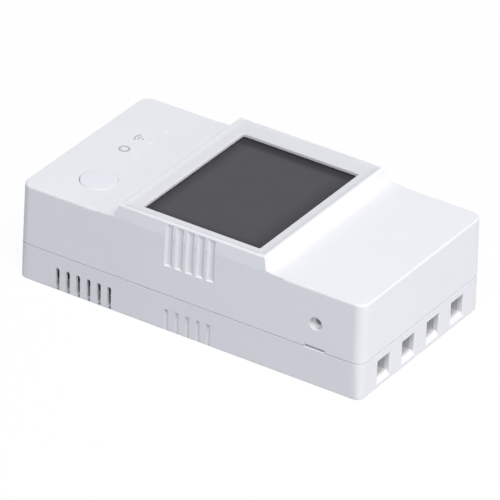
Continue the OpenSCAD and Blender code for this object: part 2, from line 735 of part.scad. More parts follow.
// Finger pad, retaining flange and the nose that opens the clamp spring
module release_button(i) color([0.9, 0.9, 0.88]) translate([0, pole_y(i), 0]) {
    lip = block_top - 1.6;
    stop = channel_top + busbar_t + release_travel + 0.2;
    difference() {
        union() {
            box([lever_x - 2.8, -2.5, lip - eps], [lever_x + 2.8, 2.5, block_top + 2.6]);
            box([lever_x - 3.5, -3.1, stop], [lever_x + 3.5, 3.1, lip]);
            box([nose[0], -slot_half + 0.3, channel_top - 0.4],
                [nose[1], slot_half - 0.3, stop + eps]);
        }
        // finger recess across the pad
        translate([lever_x, 0, block_top + 2.6 + 4.5]) rotate([90, 0, 0])
            cylinder(h = 8, r = 5, center = true);
    }
}

module relay_cover() color([0.1, 0.12, 0.2]) difference() {
    translate([relay_mid, 0, 0]) plate(relay_w, relay_l, 0.6, board_top + 0.5, relay_top);
    translate([relay_mid, 0, 0])
        plate(relay_w - 1.4, relay_l - 1.4, 0.3, board_top, relay_top - 0.7);
}

module relay_base() color(black) difference() {
    box([relay_x + 0.8, -relay_y + 0.8, board_top], [relay_x + relay_w - 0.8, relay_y - 0.8,
                                                    board_top + 1.5]);
    for (p = relay_pin_at) translate([p[0], p[1], board_top - 1]) cylinder(h = 5, r = 0.42);
}

// Drawn along +Y from the coil's rear end
module coil_tube(y, l, r) translate([relay_mid, y + l, coil_z]) rotate([90, 0, 0])
    cylinder(h = l, r = r);

module relay_bobbin() color([0.85, 0.85, 0.8]) difference() {
    cheek = coil_r + 0.4;
    union() {
        for (y = [coil_rear, hinge_y - 3])
            translate([relay_mid - cheek, y, coil_z - cheek]) cube([2 * cheek, 0.8, 2 * cheek]);
        coil_tube(coil_rear, hinge_y - 2.2 - coil_rear, 2.9);
        translate([relay_mid - 4, coil_rear, coil_z - cheek - 1.1])
            cube([8, hinge_y - 2.2 - coil_rear, 1.2]);
    }
    coil_tube(coil_rear - 1, relay_l, 2.2);
}

module relay_winding() color(copper) difference() {
    coil_tube(coil_rear + 0.9, hinge_y - 4 - coil_rear, coil_r);
    coil_tube(coil_rear - 1, relay_l, 2.95);
}

module relay_core() color(steel) {
    coil_tube(coil_rear - 0.2, hinge_y - 1.9 - coil_rear, 2.15);
    // the pole face lies where the armature meets it when it closes
    pole_r = 3.2;
    swing = (hinge_z - coil_z + pole_r) * sin(armature_tilt);
    coil_tube(hinge_y - 1.5 - swing, 0.85, pole_r);
}

module relay_yoke() color(steel) {
    box([relay_mid - yoke_half, yoke_rear, board_top + 2],
        [relay_mid + yoke_half, coil_rear - 0.25, relay_top - 0.9]);
    box([relay_mid - yoke_half, yoke_rear, relay_top - 2.1],
        [relay_mid + yoke_half, hinge_y - 0.75, relay_top - 0.9]);
}

module relay_armature() color(steel)
    box([relay_mid - yoke_half + 0.1, hinge_y - 0.6, board_top + 5],
        [relay_mid + yoke_half - 0.1, hinge_y + 0.6, relay_top - 1.1]);

// A disc of a contact, with its face towards +Y or -Y
module contact(y, h) translate([relay_mid, y, board_top + 3.2]) rotate([90, 0, 0])
    cylinder(h = h, r = 1.2);

// The moving contact rides on a leaf that is riveted to the armature
module relay_contact_arm() color(copper) {
    box([relay_mid - 2, hinge_y + 0.6, board_top + 2],
        [relay_mid + 2, hinge_y + 0.9, relay_top - 3]);
    contact(hinge_y + 0.65, 0.7);
}

module relay_fixed_contact() color(copper) {
    box([relay_mid - 2, hinge_y - 2, board_top + 1.5],
        [relay_mid + 2, hinge_y - 1.5, coil_z - 3.4]);
    contact(hinge_y - 0.95, 0.6);
}

module relay_pins() color(tin)
    for (p = relay_pin_at) translate([p[0], p[1], board_z - 0.9])
        cylinder(h = board_t + 0.9 + 1.5, r = 0.4);

module current_shunt() color(copper)
    translate([shunt_x, 0, board_top]) across(-13, -10) polygon(rounded(
        [[0, 0], [1, 0], [1, 3], [7, 3], [7, 0], [8, 0], [8, 4], [0, 4]],
        [0, 0, 0.4, 0.4, 0, 0, 1.2, 1.2]));

module fuse() color([0.35, 0.2, 0.15]) translate([relay_mid + 2.2, -side_mid, board_top])
    rotate_extrude() polygon([[0, 0], [4, 0], [4, 7.4], [3.4, 8], [0, 8]]);

module varistor() color([0.15, 0.3, 0.55]) translate([relay_mid + 2.6, side_mid, 0]) {
    translate([0, 1.8, board_top + 6]) rotate([90, 0, 0]) cylinder(h = 3.6, r = 4.5);
    for (s = [-1, 1]) translate([s * 2.5, 0, board_top])
        cylinder(h = 3.4, r = 0.4);
}

module film_capacitor() color([0.85, 0.6, 0.15])
    translate([film_x, 12, 0]) plate(6, 13, 0.6, board_top, board_top + 10);

module bulk_capacitor() color(black) translate([bulk_x, 7, board_top + 4.1]) rotate([90, 0, 0])
    rotate_extrude() polygon(rounded(
        [[0, 0], [4, 0], [4, 2], [3.6, 2.4], [4, 2.8], [4, 14], [0, 14]],
        [0, 0.4, 0, 0, 0, 0.4, 0]));

module output_capacitor() color(black) translate([output_x, -10.5, board_top])
    rotate_extrude() polygon(rounded(
        [[0, 0], [3.15, 0], [3.15, 1], [2.9, 1.3], [3.15, 1.6], [3.15, 8], [0, 8]],
        [0, 0.3, 0, 0, 0, 0.3, 0]));

module transformer_core() color([0.2, 0.2, 0.22]) translate([trafo[0], trafo[1], board_top])
    difference() {
        translate([-6.5, -3, 0.6]) cube([13, 6, 10]);
        for (s = [-1, 1]) translate([s * 3.4 - 1.4, -4, 2.2]) cube([2.8, 8, 6.8]);
    }

module transformer_coil() color([0.9, 0.8, 0.3])
    translate([trafo[0], trafo[1], board_top]) difference() {
        translate([-4.7, -5.5, 2.4]) cube([9.4, 11, 6.4]);
        translate([-2.05, -3.1, -1]) cube([4.1, 6.2, 12]);
        for (s = [-1, 1]) translate([s * 5.7 - 0.95, -3.1, 0]) cube([1.9, 6.2, 12]);
    }

module metering_chip() color(black)
    translate([relay_x - 17.4, -8, board_top]) cube([5, 4, 1.6]);

module power_chip() color(black)
    translate([relay_x - 28.4, 2, board_top]) cube([5, 4, 1.6]);

lower_housing();
upper_housing();
display_frame();
display_lens();
main_button();
light_pipe(1);  // light_pipe_1
light_pipe(2);  // light_pipe_2
light_pipe(3);  // light_pipe_3
lcd_panel();
light_box();
contact_strip();
display_board();
backlight_leds();
status_leds();
switch_body();
switch_plunger();
radio_board();
radio_shield();
main_board();
board_standoffs();
display_screws();
link_header();
link_pins();
terminal_block();
busbar(1);  // busbar_1
busbar(2);  // busbar_2
busbar(3);  // busbar_3
busbar(4);  // busbar_4
clamp_spring(1);  // clamp_spring_1
clamp_spring(2);  // clamp_spring_2
clamp_spring(3);  // clamp_spring_3
clamp_spring(4);  // clamp_spring_4
release_button(1);  // release_button_1
release_button(2);  // release_button_2
release_button(3);  // release_button_3
release_button(4);  // release_button_4
relay_cover();
relay_base();
relay_bobbin();
relay_winding();
relay_core();
relay_yoke();
relay_armature();
relay_contact_arm();
relay_fixed_contact();
relay_pins();
current_shunt();
fuse();
varistor();
film_capacitor();
bulk_capacitor();
output_capacitor();
transformer_core();
transformer_coil();
metering_chip();
power_chip();
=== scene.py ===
import math

import bmesh
import bpy
import numpy as np
from mathutils import Matrix, Vector


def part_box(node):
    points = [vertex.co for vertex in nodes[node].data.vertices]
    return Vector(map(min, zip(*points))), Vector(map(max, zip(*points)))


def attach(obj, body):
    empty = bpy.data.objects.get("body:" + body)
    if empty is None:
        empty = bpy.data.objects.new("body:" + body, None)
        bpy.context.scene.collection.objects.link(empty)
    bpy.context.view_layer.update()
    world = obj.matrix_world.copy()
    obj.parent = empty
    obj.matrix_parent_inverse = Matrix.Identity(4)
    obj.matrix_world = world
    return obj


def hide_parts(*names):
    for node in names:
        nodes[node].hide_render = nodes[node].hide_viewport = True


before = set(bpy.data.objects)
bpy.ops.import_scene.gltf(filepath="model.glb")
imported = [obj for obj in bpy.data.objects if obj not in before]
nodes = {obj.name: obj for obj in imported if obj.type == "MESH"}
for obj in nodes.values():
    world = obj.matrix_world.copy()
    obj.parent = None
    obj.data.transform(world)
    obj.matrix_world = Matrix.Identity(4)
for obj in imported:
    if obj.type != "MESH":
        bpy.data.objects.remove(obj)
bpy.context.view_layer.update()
MM = 0.001


# Lower housing: a tray injection-moulded in white ABS, with vents, grip grooves and wire
# entries. The mould's fine erosion texture leaves it matt, with small rounded edges.
def linear(code):
    """An sRGB hex colour as linear red, green, blue and alpha."""
    parts = np.array([int(code[i:i + 2], 16) for i in (1, 3, 5)]) / 255
    curve = ((parts + 0.055) / 1.055) ** 2.4
    return (*np.where(parts <= 0.04045, parts / 12.92, curve), 1.0)


def add(surface, kind, inputs=None, **settings):
    """Adds one shader node with its settings to a material or the world. Its inputs are values,
    or sockets to link from, and go by number where names repeat: in Mix, 2 and 3 are the values
    and 6 and 7 the colours; in Map Range, 1 and 2 are the range read and 3 and 4 the one given."""
    made = surface.node_tree.nodes.new("ShaderNode" + kind)
    for name, value in settings.items():
        setattr(made, name, value)
    for name, value in (inputs or {}).items():
        if isinstance(value, bpy.types.NodeSocket):
            surface.node_tree.links.new(value, made.inputs[name])
        else:
            made.inputs[name].default_value = value
    return made


def finish(name, **sockets):
    """A new material and its Principled shader, with the given socket values."""
    material = bpy.data.materials.new(name)
    material.use_nodes = True
    shader = material.node_tree.nodes["Principled BSDF"]
    for socket, value in sockets.items():
        shader.inputs[socket.replace("_", " ")].default_value = value
    return material, shader


def feed(node, **sources):
    """Links a source to each named socket of a node that is already there."""
    for socket, source in sources.items():
        node.id_data.links.new(source, node.inputs[socket.replace("_", " ")])


MOTTLE, GLOSS_SPREAD = 14, 0.06


def moulded(name, colour, shade, roughness, grain=0.22, relief=0.004, ior=1.53):
    """Moulded plastic: two near tones mottled over MOTTLE mm, and a fine texture, grain mm wide
    and relief mm deep, over which the gloss varies."""
    material, shader = finish(name, IOR=ior)
    at = add(material, "TexCoord").outputs["Object"]
    mottle = add(material, "TexNoise", {"Vector": at, "Scale": 1 / (MOTTLE * MM), "Detail": 3})
    tone = add(material, "Mix", {0: mottle.outputs["Fac"], 6: linear(colour), 7: linear(shade)},
               data_type="RGBA")
    texture = add(material, "TexNoise", {"Vector": at, "Scale": 1 / (grain * MM), "Detail": 2})
    gloss = add(material, "MapRange", {"Value": texture.outputs["Fac"],
                                       3: roughness - GLOSS_SPREAD, 4: roughness + GLOSS_SPREAD})
    bump = add(material, "Bump", {"Height": texture.outputs["Fac"], "Strength": 0.5,
                                  "Distance": relief * MM})
    feed(shader, Base_Color=tone.outputs[2], Roughness=gloss.outputs[0], Normal=bump.outputs[0])
    return material


def place(name, mesh, material, body, stands_for=(), sharp=32):
    """Makes a mesh a piece of the object, which rides on a body and may stand for CAD nodes.
    Its edges over the sharp angle in degrees stay crisp."""
    piece = bpy.data.objects.new(name, mesh)
    bpy.context.scene.collection.objects.link(piece)
    mesh.materials.clear()
    mesh.materials.append(material)
    mesh.shade_smooth()
    mesh.set_sharp_from_angle(angle=math.radians(sharp))
    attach(piece, body)
    if stands_for:
        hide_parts(*stands_for)
    return piece


# Points within this distance in metres become one, and faces within this angle in radians
SAME_POINT, SAME_FACE = 0.0005 * MM, math.radians(0.4)
BEVEL_MARGIN = 4


def softened(node, name, material, body, width=0.12, segments=2, sharp=32):
    """A copy of a CAD node with its flat faces joined and its edges rounded by width mm, where
    they are a few degrees over the sharp angle."""
    mesh = nodes[node].data.copy()
    form = bmesh.new()
    form.from_mesh(mesh)
    bmesh.ops.remove_doubles(form, verts=form.verts, dist=SAME_POINT)
    bmesh.ops.dissolve_limit(form, angle_limit=SAME_FACE, verts=form.verts, edges=form.edges)
    form.to_mesh(mesh)
    form.free()
    piece = place(name, mesh, material, body, [node], sharp)
    edge = piece.modifiers.new("rounded_edges", "BEVEL")
    edge.width = width * MM
    edge.segments = segments
    edge.limit_method = "ANGLE"
    edge.angle_limit = math.radians(sharp + BEVEL_MARGIN)
    even = piece.modifiers.new("flat_faces_shade_flat", "WEIGHTED_NORMAL")
    even.weight, even.keep_sharp = 100, True
    return piece


def extent(node):
    """The lowest and highest corner of a CAD node, in mm."""
    low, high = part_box(node)
    return np.array(low) / MM, np.array(high) / MM


def reshaped(piece, change):
    """Lets the change function move a piece's corner points, an array in mm."""
    flat = np.empty(len(piece.data.vertices) * 3)
    piece.data.vertices.foreach_get("co", flat)
    points = flat.reshape(-1, 3) / MM
    change(points)
    piece.data.vertices.foreach_set("co", (points * MM).ravel())


# The housing's four corners in plan: their radius, and the centre of the one at +X and +Y
CORNER_R = 2.8
CORNER_AT = np.round(extent("lower_housing")[1][:2]) - CORNER_R
# The shadow gap along the seam: its place, a bit over half its height, its depth, and how much
# deeper it is drawn
SEAM_Z, SEAM_HALF, SEAM_IN, SEAM_DEEPER = extent("upper_housing")[0][2], 0.2, 0.2, 0.1
# Under this height the corners have this smaller radius
FOOT_Z, FOOT_R = 0.6, 1.9
# A point this near to a place lies there
NEAR = 0.01


def from_corners(points):
    """How each point lies outside the corners' centres: its offset in plan, and how far that is."""
    out = points[:, :2] - np.clip(points[:, :2], -CORNER_AT, CORNER_AT)
    return out, np.linalg.norm(out, axis=1)


def deeper_seam(points):
    """Draws the floor of the shadow gap along the seam further in, square to the wall."""
    out, far = from_corners(points)
    floor = (abs(points[:, 2] - SEAM_Z) < SEAM_HALF) & (abs(far - CORNER_R + SEAM_IN) < NEAR)
    points[floor, :2] -= SEAM_DEEPER * out[floor] / far[floor, None]


def tray_shape(points):
    """Deepens the seam, and tightens the corners' radius towards the foot: a point at an angle
    round a corner moves along each wall by the change of radius times one less its direction."""
    deeper_seam(points)
    out, far = from_corners(points)
    at_corner = (abs(points[:, :2]) > CORNER_AT - NEAR).all(axis=1)
    foot = at_corner & (points[:, 2] < FOOT_Z) & (far > CORNER_R - FOOT_Z)
    side = np.sign(points[foot, :2])
    points[foot, :2] += (CORNER_R - FOOT_R) * (side - out[foot] / far[foot, None])


housing_abs = moulded("moulded_white_abs", "#EEEEF0", "#EAEAEC", 0.46)
reshaped(softened("lower_housing", "lower_housing_moulding", housing_abs, "root",
                  sharp=20), tray_shape)


# Terminal block: one polyamide moulding with four wire channels, which stands against the
# end wall. Copper busbars, leaf springs and release levers sit in the channels. The levers'
# acetal is a cleaner white than the polyamide.
def dressed(material, *names):
    """Gives CAD nodes their material."""
    for name in names:
        mesh = nodes[name].data
        mesh.materials.clear()
        mesh.materials.append(material)


STREAK_RATIO, SMOOTHER, DULLER = 6, 0.08, 0.1


def metal(name, colour, roughness, grain=0.3):
    """Bare metal, drawn or polished along X: its gloss varies in streaks, grain mm long and a
    sixth as wide."""
    material, shader = finish(name, Metallic=1.0, Base_Color=linear(colour))
    at = add(material, "TexCoord").outputs["Object"]
    stretch = add(material, "Mapping", {"Vector": at, "Scale": (1, STREAK_RATIO, STREAK_RATIO)})
    streak = add(material, "TexNoise", {"Vector": stretch.outputs[0], "Scale": 1 / (grain * MM)})
    gloss = add(material, "MapRange", {"Value": streak.outputs["Fac"], 3: roughness - SMOOTHER,
                                       4: roughness + DULLER})
    feed(shader, Roughness=gloss.outputs[0])
    return material


POLES = range(1, 5)
nylon = moulded("moulded_polyamide", "#DCDDDF", "#D3D4D7", 0.42)
copper = metal("rolled_copper", "#C9825B", 0.3)
spring_steel = metal("spring_steel", "#B9BBBE", 0.24)
lever_white = moulded("moulded_acetal", "#EDEDEB", "#E6E6E4", 0.36)
softened("terminal_block", "terminal_block_moulding", nylon, "root", 0.15)
dressed(copper, *[f"busbar_{i}" for i in POLES])
dressed(spring_steel, *[f"clamp_spring_{i}" for i in POLES])
for i in POLES:
    softened(f"release_button_{i}", f"release_lever_{i}", lever_white, f"release_{i}",
             0.25, 3)


# Main board: glass-epoxy laminate with copper tracks under green solder resist, and raw edges
# where it was milled. It lies on the four bosses.
REGION, VIA_PITCH = 9, 4.2
PLATED, RAW_EDGE = "#BDBFB4", "#A3A878"
# Of a wave's height where a track's edge starts and ends, of a via's pitch where its edge does,
# and the shares of regions whose tracks run along X, and that are bare
TRACK_FROM, TRACK_TO, VIA_FROM, VIA_TO, ALONG_X, BARE = 0.62, 0.72, 0.1, 0.075, 0.5, 0.3
# At a scale of 1, the bands of a wave texture lie this far apart
WAVE = math.pi / 10


def laminate(name, resist, track, pitch=2.1):
    """Solder resist over copper: tracks on a pitch in mm, along X in some regions and along Y in
    others, as paler raised bands, with plated joints between the layers among them."""
    material, shader = finish(name, Roughness=0.3, IOR=1.55, Coat_Weight=0.4,
                              Coat_Roughness=0.15)
    at = add(material, "TexCoord").outputs["Object"]
    regions = add(material, "TexVoronoi", {"Vector": at, "Scale": 1 / (REGION * MM)},
                  distance="CHEBYCHEV")
    region = add(material, "SeparateColor", {0: regions.outputs["Color"]})
    bands = []
    for axis in "XY":
        wave = add(material, "TexWave", {"Vector": at, "Scale": WAVE / (pitch * MM)},
                   bands_direction=axis)
        bands.append(add(material, "MapRange", {"Value": wave.outputs["Fac"], 1: TRACK_FROM,
                                                2: TRACK_TO}))
    turn = add(material, "Math", {0: region.outputs[0], 1: ALONG_X}, operation="GREATER_THAN")
    tracks = add(material, "Mix", {0: turn.outputs[0], 2: bands[0].outputs[0],
                                   3: bands[1].outputs[0]})
    used = add(material, "Math", {0: region.outputs[1], 1: BARE}, operation="GREATER_THAN")
    height = add(material, "Math", {0: tracks.outputs[0], 1: used.outputs[0]},
                 operation="MULTIPLY")
    vias = add(material, "TexVoronoi", {"Vector": at, "Scale": 1 / (VIA_PITCH * MM)})
    via = add(material, "MapRange", {"Value": vias.outputs["Distance"], 1: VIA_FROM, 2: VIA_TO})
    tone = add(material, "Mix", {0: height.outputs[0], 6: linear(resist), 7: linear(track)},
               data_type="RGBA")
    dotted = add(material, "Mix", {0: via.outputs[0], 6: tone.outputs[2], 7: linear(PLATED)},
                 data_type="RGBA")
    facing = add(material, "SeparateXYZ", {0: add(material, "NewGeometry").outputs["Normal"]})
    upright = add(material, "Math", {0: facing.outputs["Z"]}, operation="ABSOLUTE")
    milled = add(material, "Math", {0: upright.outputs[0], 1: 0.5}, operation="LESS_THAN")
    skin = add(material, "Mix", {0: milled.outputs[0], 6: dotted.outputs[2], 7: linear(RAW_EDGE)},
               data_type="RGBA")
    bump = add(material, "Bump", {"Height": height.outputs[0], "Strength": 0.5,
                                  "Distance": 0.035 * MM})
    feed(shader, Base_Color=skin.outputs[2], Normal=bump.outputs[0])
    return material


def round_rect(low, high, radius, steps=8):
    """The outline of a rectangle with round corners, as a function of how far it is drawn in."""
    low, high = np.array(low), np.array(high)
    turns = np.radians([[0], [90], [180], [270]]) + np.linspace(0, np.pi / 2, steps + 1)
    sides = np.array([[1, 1], [-1, 1], [-1, -1], [1, -1]])

    def outline(inset):
        r = max(radius - inset, 0.001)
        corner = (low + high) / 2 + sides * ((high - low) / 2 - inset - r)
        ring = np.stack([np.cos(turns), np.sin(turns)], -1) * r
        return (corner[:, None, :] + ring).reshape(-1, 2)

    return outline


def lofted(rings):
    """A grid of points: each ring is an outline in plan and the height it lies at."""
    return np.stack([np.column_stack([outline, np.full(len(outline), height)])
                     for outline, height in rings])


def swept(outline, profile):
    """A grid of points: the outline drawn in by the profile's first value, at its second."""
    return lofted([(outline(inset), height) for inset, height in profile])


def joined(name, grid, closed=False):
    """A mesh of four-sided faces between rows of points in mm, each closed round on itself. The
    last row is closed on the first, or both get caps."""
    rows, columns = grid.shape[:2]
    index = np.arange(rows * columns).reshape(rows, columns)
    if closed:
        index = np.vstack([index, index[:1]])
    index = np.hstack([index, index[:, :1]])
    faces = np.stack([index[:-1, :-1], index[:-1, 1:], index[1:, 1:], index[1:, :-1]], -1)
    faces = faces.reshape(-1, 4).tolist()
    if not closed:
        faces += [index[0, :columns][::-1].tolist(), index[-1, :columns].tolist()]
    mesh = bpy.data.meshes.new(name)
    mesh.from_pydata((grid.reshape(-1, 3) * MM).tolist(), [], faces)
    return mesh


def merged(name, grids, closed=False):
    """One mesh of several closed forms, each joined from its grid of points in mm."""
    form = bmesh.new()
    for grid in grids:
        form.from_mesh(joined(name, grid, closed))
    bmesh.ops.recalc_face_normals(form, faces=form.faces)
    mesh = bpy.data.meshes.new(name)
    form.to_mesh(mesh)
    form.free()
    return mesh


green_board = laminate("green_solder_resist", "#1B5533", "#2A7346")
board_ink = moulded("printed_white_ink", "#D9DED8", "#CBD2CB", 0.55, grain=0.3)
PRINT_OFF, PRINT_W, PRINT_T = 0.5, 0.22, 0.03


def outlines(board, *parts, radius=0.3):
    """The assembly print on a board: a flat band of white ink round the plan of each part."""
    base = extent(board)[1][2]
    band = [(-PRINT_W, base - PRINT_T), (-PRINT_W, base + PRINT_T), (0, base + PRINT_T),
            (0, base - PRINT_T)]
    grids = []
    for part in parts:
        low, high = extent(part)
        grids.append(swept(round_rect(low[:2] - PRINT_OFF, high[:2] + PRINT_OFF, radius, 6), band))
    return grids


dressed(green_board, "main_board")
main_print = outlines("main_board", "relay_cover", "varistor", "film_capacitor",
                      "bulk_capacitor", "transformer_core", "metering_chip", "power_chip")
main_print += outlines("main_board", "fuse", radius=4.4)
main_print += outlines("main_board", "output_capacitor", radius=3.6)
place("main_board_print", merged("print", main_print, closed=True), board_ink, "root")


# Relay: coil, core, yoke and hinged armature on a black base, with the contacts' copper strips
# beside them, under a dark blue moulded cover. The wire's copper shines through its enamel.
def wound(name, colour, pitch, roughness=0.25):
    """Enamelled wire laid turn by turn along Y, its round turns drawn pitch mm apart."""
    material, shader = finish(name, Base_Color=linear(colour), Metallic=0.85,
                              Roughness=roughness, Coat_Weight=0.6)
    at = add(material, "TexCoord").outputs["Object"]
    turns = add(material, "TexWave", {"Vector": at, "Scale": WAVE / (pitch * MM)},
                bands_direction="Y")
    bump = add(material, "Bump", {"Height": turns.outputs["Fac"], "Strength": 1.0,
                                  "Distance": 0.12 * MM})
    feed(shader, Normal=bump.outputs[0])
    return material


black_case = moulded("moulded_black_epoxy", "#1E1F21", "#18191B", 0.4)
relay_blue = moulded("moulded_relay_cover", "#232C47", "#1E2740", 0.34)
bobbin_white = moulded("moulded_bobbin", "#E2E1DC", "#DAD9D4", 0.45)
tin = metal("tinned_copper", "#CFD0CE", 0.28)
plated_steel = metal("plated_steel", "#C4C6C9", 0.3)
softened("relay_base", "relay_base_moulding", black_case, "root", 0.1)
softened("relay_bobbin", "relay_bobbin_moulding", bobbin_white, "root", 0.15)
softened("relay_cover", "relay_cover_moulding", relay_blue, "root", 0.35, 3)
dressed(wound("enamelled_wire", "#A4512C", 0.35), "relay_winding")
dressed(plated_steel, "relay_core", "relay_yoke", "relay_armature")
dressed(copper, "relay_contact_arm", "relay_fixed_contact")
dressed(tin, "relay_pins")


# Fuse, film capacitor and current shunt: the fuse and the capacitor are moulded cases with a
# smooth, even gloss, and the shunt is a bent copper strip.
fuse_brown = moulded("moulded_fuse_case", "#5B3626", "#4F2E20", 0.34)
yellow_case = moulded("moulded_yellow_case", "#D79B2C", "#CC9026", 0.35)
softened("fuse", "fuse_case", fuse_brown, "root", 0.3, 3)
softened("film_capacitor", "film_capacitor_case", yellow_case, "root", 0.4, 3)
dressed(copper, "current_shunt")


# Varistor: a sintered disc dipped in blue epoxy, which swells over the rim and runs a little
# way down both tinned leads.
def filleted(points, radii, closed=False, steps=5):
    """A profile whose corners are replaced by arcs that touch both of their sides."""
    points = np.array(points, float)
    out = []
    for i, (p, r) in enumerate(zip(points, radii)):
        if r == 0 or (not closed and i in (0, len(points) - 1)):
            out.append([p])
            continue
        to_last = points[i - 1] - p
        to_next = points[(i + 1) % len(points)] - p
        a, b = to_last / np.linalg.norm(to_last), to_next / np.linalg.norm(to_next)
        half = math.acos(np.clip(a @ b, -1, 1)) / 2
        centre = p + (a + b) / np.linalg.norm(a + b) * r / math.sin(half)
        start, end = a * r / math.tan(half), b * r / math.tan(half)
        way = np.linspace(0, 1, steps + 1)[:, None]
        spokes = (p + start - centre) * (1 - way) + (p + end - centre) * way
        out.append(centre + r * spokes / np.linalg.norm(spokes, axis=1, keepdims=True))
    return np.concatenate(out)


def turned_grid(profile, centre, steps, lying=False):
    """A profile of radius and height turned once round an upright axis, or round one that lies
    along Y, where centre is x and z."""
    angle = np.linspace(0, 2 * np.pi, steps, endpoint=False)
    radius, height = profile[:, :1], profile[:, 1:]
    across, up = centre[0] + radius * np.cos(angle), centre[1] + radius * np.sin(angle)
    along = height + 0 * angle
    return np.stack([across, along, up] if lying else [across, up, along], -1)


# Turned forms start this far off their axis, and a cap closes them there
AXIS = 0.01
DISC_R, FLAT_R, RIM_T, SWELL = 4.5, 2.9, 1, 0.1
# Below the disc's middle a run of epoxy starts and has thinned, and over the board it ends
RUN_TOP, RUN_THIN, RUN_END = 2.6, 4.4, 1.1
RUN_TOP_R, RUN_THIN_R, RUN_END_R = 1.3, 0.55, 0.4
# The lead that comes out of it: its place beside the middle, and its two ends over the board
LEAD_AT, LEAD_TOP, LEAD_FOOT, LEAD_TOP_R, LEAD_FOOT_R = 2.5, 1.6, -1.2, 0.35, 0.3
blue_coat = moulded("dipped_blue_epoxy", "#2A5C9C", "#244F88", 0.2, grain=1.1, relief=0.02)
low, high = extent("varistor")
disc_x, disc_y, disc_z = (low[0] + high[0]) / 2, (low[1] + high[1]) / 2, high[2] - DISC_R
disc_profile = filleted([(AXIS, high[1]), (FLAT_R, high[1] - SWELL), (DISC_R, disc_y + RIM_T / 2),
                         (DISC_R, disc_y - RIM_T / 2), (FLAT_R, low[1] + SWELL), (AXIS, low[1])],
                        (0, 1.2, 0.8, 0.8, 1.2, 0))
run_profile = filleted([(AXIS, disc_z - RUN_TOP), (RUN_TOP_R, disc_z - RUN_TOP),
                        (RUN_THIN_R, disc_z - RUN_THIN), (RUN_END_R, low[2] + RUN_END),
                        (AXIS, low[2] + RUN_END)], (0, 0.3, 0.8, 0.1, 0))
lead_profile = np.array([(AXIS, low[2] + LEAD_FOOT), (LEAD_FOOT_R, low[2] + LEAD_FOOT),
                         (LEAD_TOP_R, low[2] + LEAD_TOP), (AXIS, low[2] + LEAD_TOP)])
leads = [(disc_x + side * LEAD_AT, disc_y) for side in (-1, 1)]
coating = [turned_grid(disc_profile, (disc_x, disc_z), 48, lying=True)]
coating += [turned_grid(run_profile, lead, 32) for lead in leads]
place("varistor_coating", merged("coating", coating), blue_coat, "root",
      ["varistor"])
place("varistor_leads", merged("leads", [turned_grid(lead_profile, lead, 24) for lead in leads]),
      tin, "root")


# Capacitors: a crimped aluminium can whose end is scored to vent, in a shrunk black sleeve with
# a pale stripe, glossy over fine creases. A dull rubber bung closes the crimped end. The bulk
# capacitor lies on the board, and the output capacitor stands.
CAN_WALL, CAN_END_IN, CAN_END_T = 0.25, 0.6, 1.2
SCORE_DEEP, SCORE_WIDE, SCORE_REACH = 0.12, 0.16, 0.75


def scored(radius, face, way, centre, lying):
    """The can's end: a disc whose face dips along a cross, by its depth times a narrow bell."""
    r = np.concatenate([[AXIS], np.linspace(0.05, 1, 24) * radius])[:, None]
    angle = np.linspace(0, 2 * np.pi, 96, endpoint=False)
    from_line = np.minimum(abs(r * np.cos(angle)), abs(r * np.sin(angle)))
    bell = np.exp(-(from_line / SCORE_WIDE) ** 2) * (r < SCORE_REACH * radius)
    front = np.stack([centre[0] + r * np.cos(angle), centre[1] + r * np.sin(angle),
                      face - way * SCORE_DEEP * bell], -1)
    back = front[::-1].copy()
    back[..., 2] = face - way * CAN_END_T
    grid = np.concatenate([front, back])
    return grid[..., [0, 2, 1]] if lying else grid


# The stripe's angle round the axis and half its width, in radians, and a crease's size in mm
STRIPE_AT, STRIPE_HALF, CREASE = 1.2, 0.3, 1.5


def sleeve(name, colour, pale, centre, axes):
    """Shrunk black film with a pale stripe along one side, found from the angle round the axis."""
    material, shader = finish(name, Roughness=0.3, IOR=1.54, Coat_Weight=0.3)
    at = add(material, "TexCoord").outputs["Object"]
    split = add(material, "SeparateXYZ", {0: at})
    u, v = (add(material, "Math", {0: split.outputs[axis], 1: axis_at * MM}, operation="SUBTRACT")
            for axis, axis_at in zip(axes, centre))
    angle = add(material, "Math", {0: v.outputs[0], 1: u.outputs[0]}, operation="ARCTAN2")
    turned_by = add(material, "Math", {0: angle.outputs[0], 1: STRIPE_AT}, operation="SUBTRACT")
    off = add(material, "Math", {0: turned_by.outputs[0]}, operation="ABSOLUTE")
    stripe = add(material, "Math", {0: off.outputs[0], 1: STRIPE_HALF}, operation="LESS_THAN")
    tone = add(material, "Mix", {0: stripe.outputs[0], 6: linear(colour), 7: linear(pale)},
               data_type="RGBA")
    crease = add(material, "TexNoise", {"Vector": at, "Scale": 1 / (CREASE * MM)})
    bump = add(material, "Bump", {"Height": crease.outputs["Fac"], "Strength": 0.4,
                                  "Distance": 0.03 * MM})
    feed(shader, Base_Color=tone.outputs[2], Normal=bump.outputs[0])
    return material


can_metal = metal("drawn_aluminium", "#D3D5D8", 0.26)
rubber = moulded("moulded_rubber_bung", "#232425", "#1C1D1E", 0.6)
# The crimp's place, as a share of the radius, and its depth and half its width
CRIMP_AT, CRIMP_DEEP, CRIMP_HALF = 0.3, 0.35, 0.5
FOOT_HEM, FACE_HEM, BUNG_IN, BUNG_END, BUNG_GAP = 1, 0.9, 0.15, 1.2, 0.95


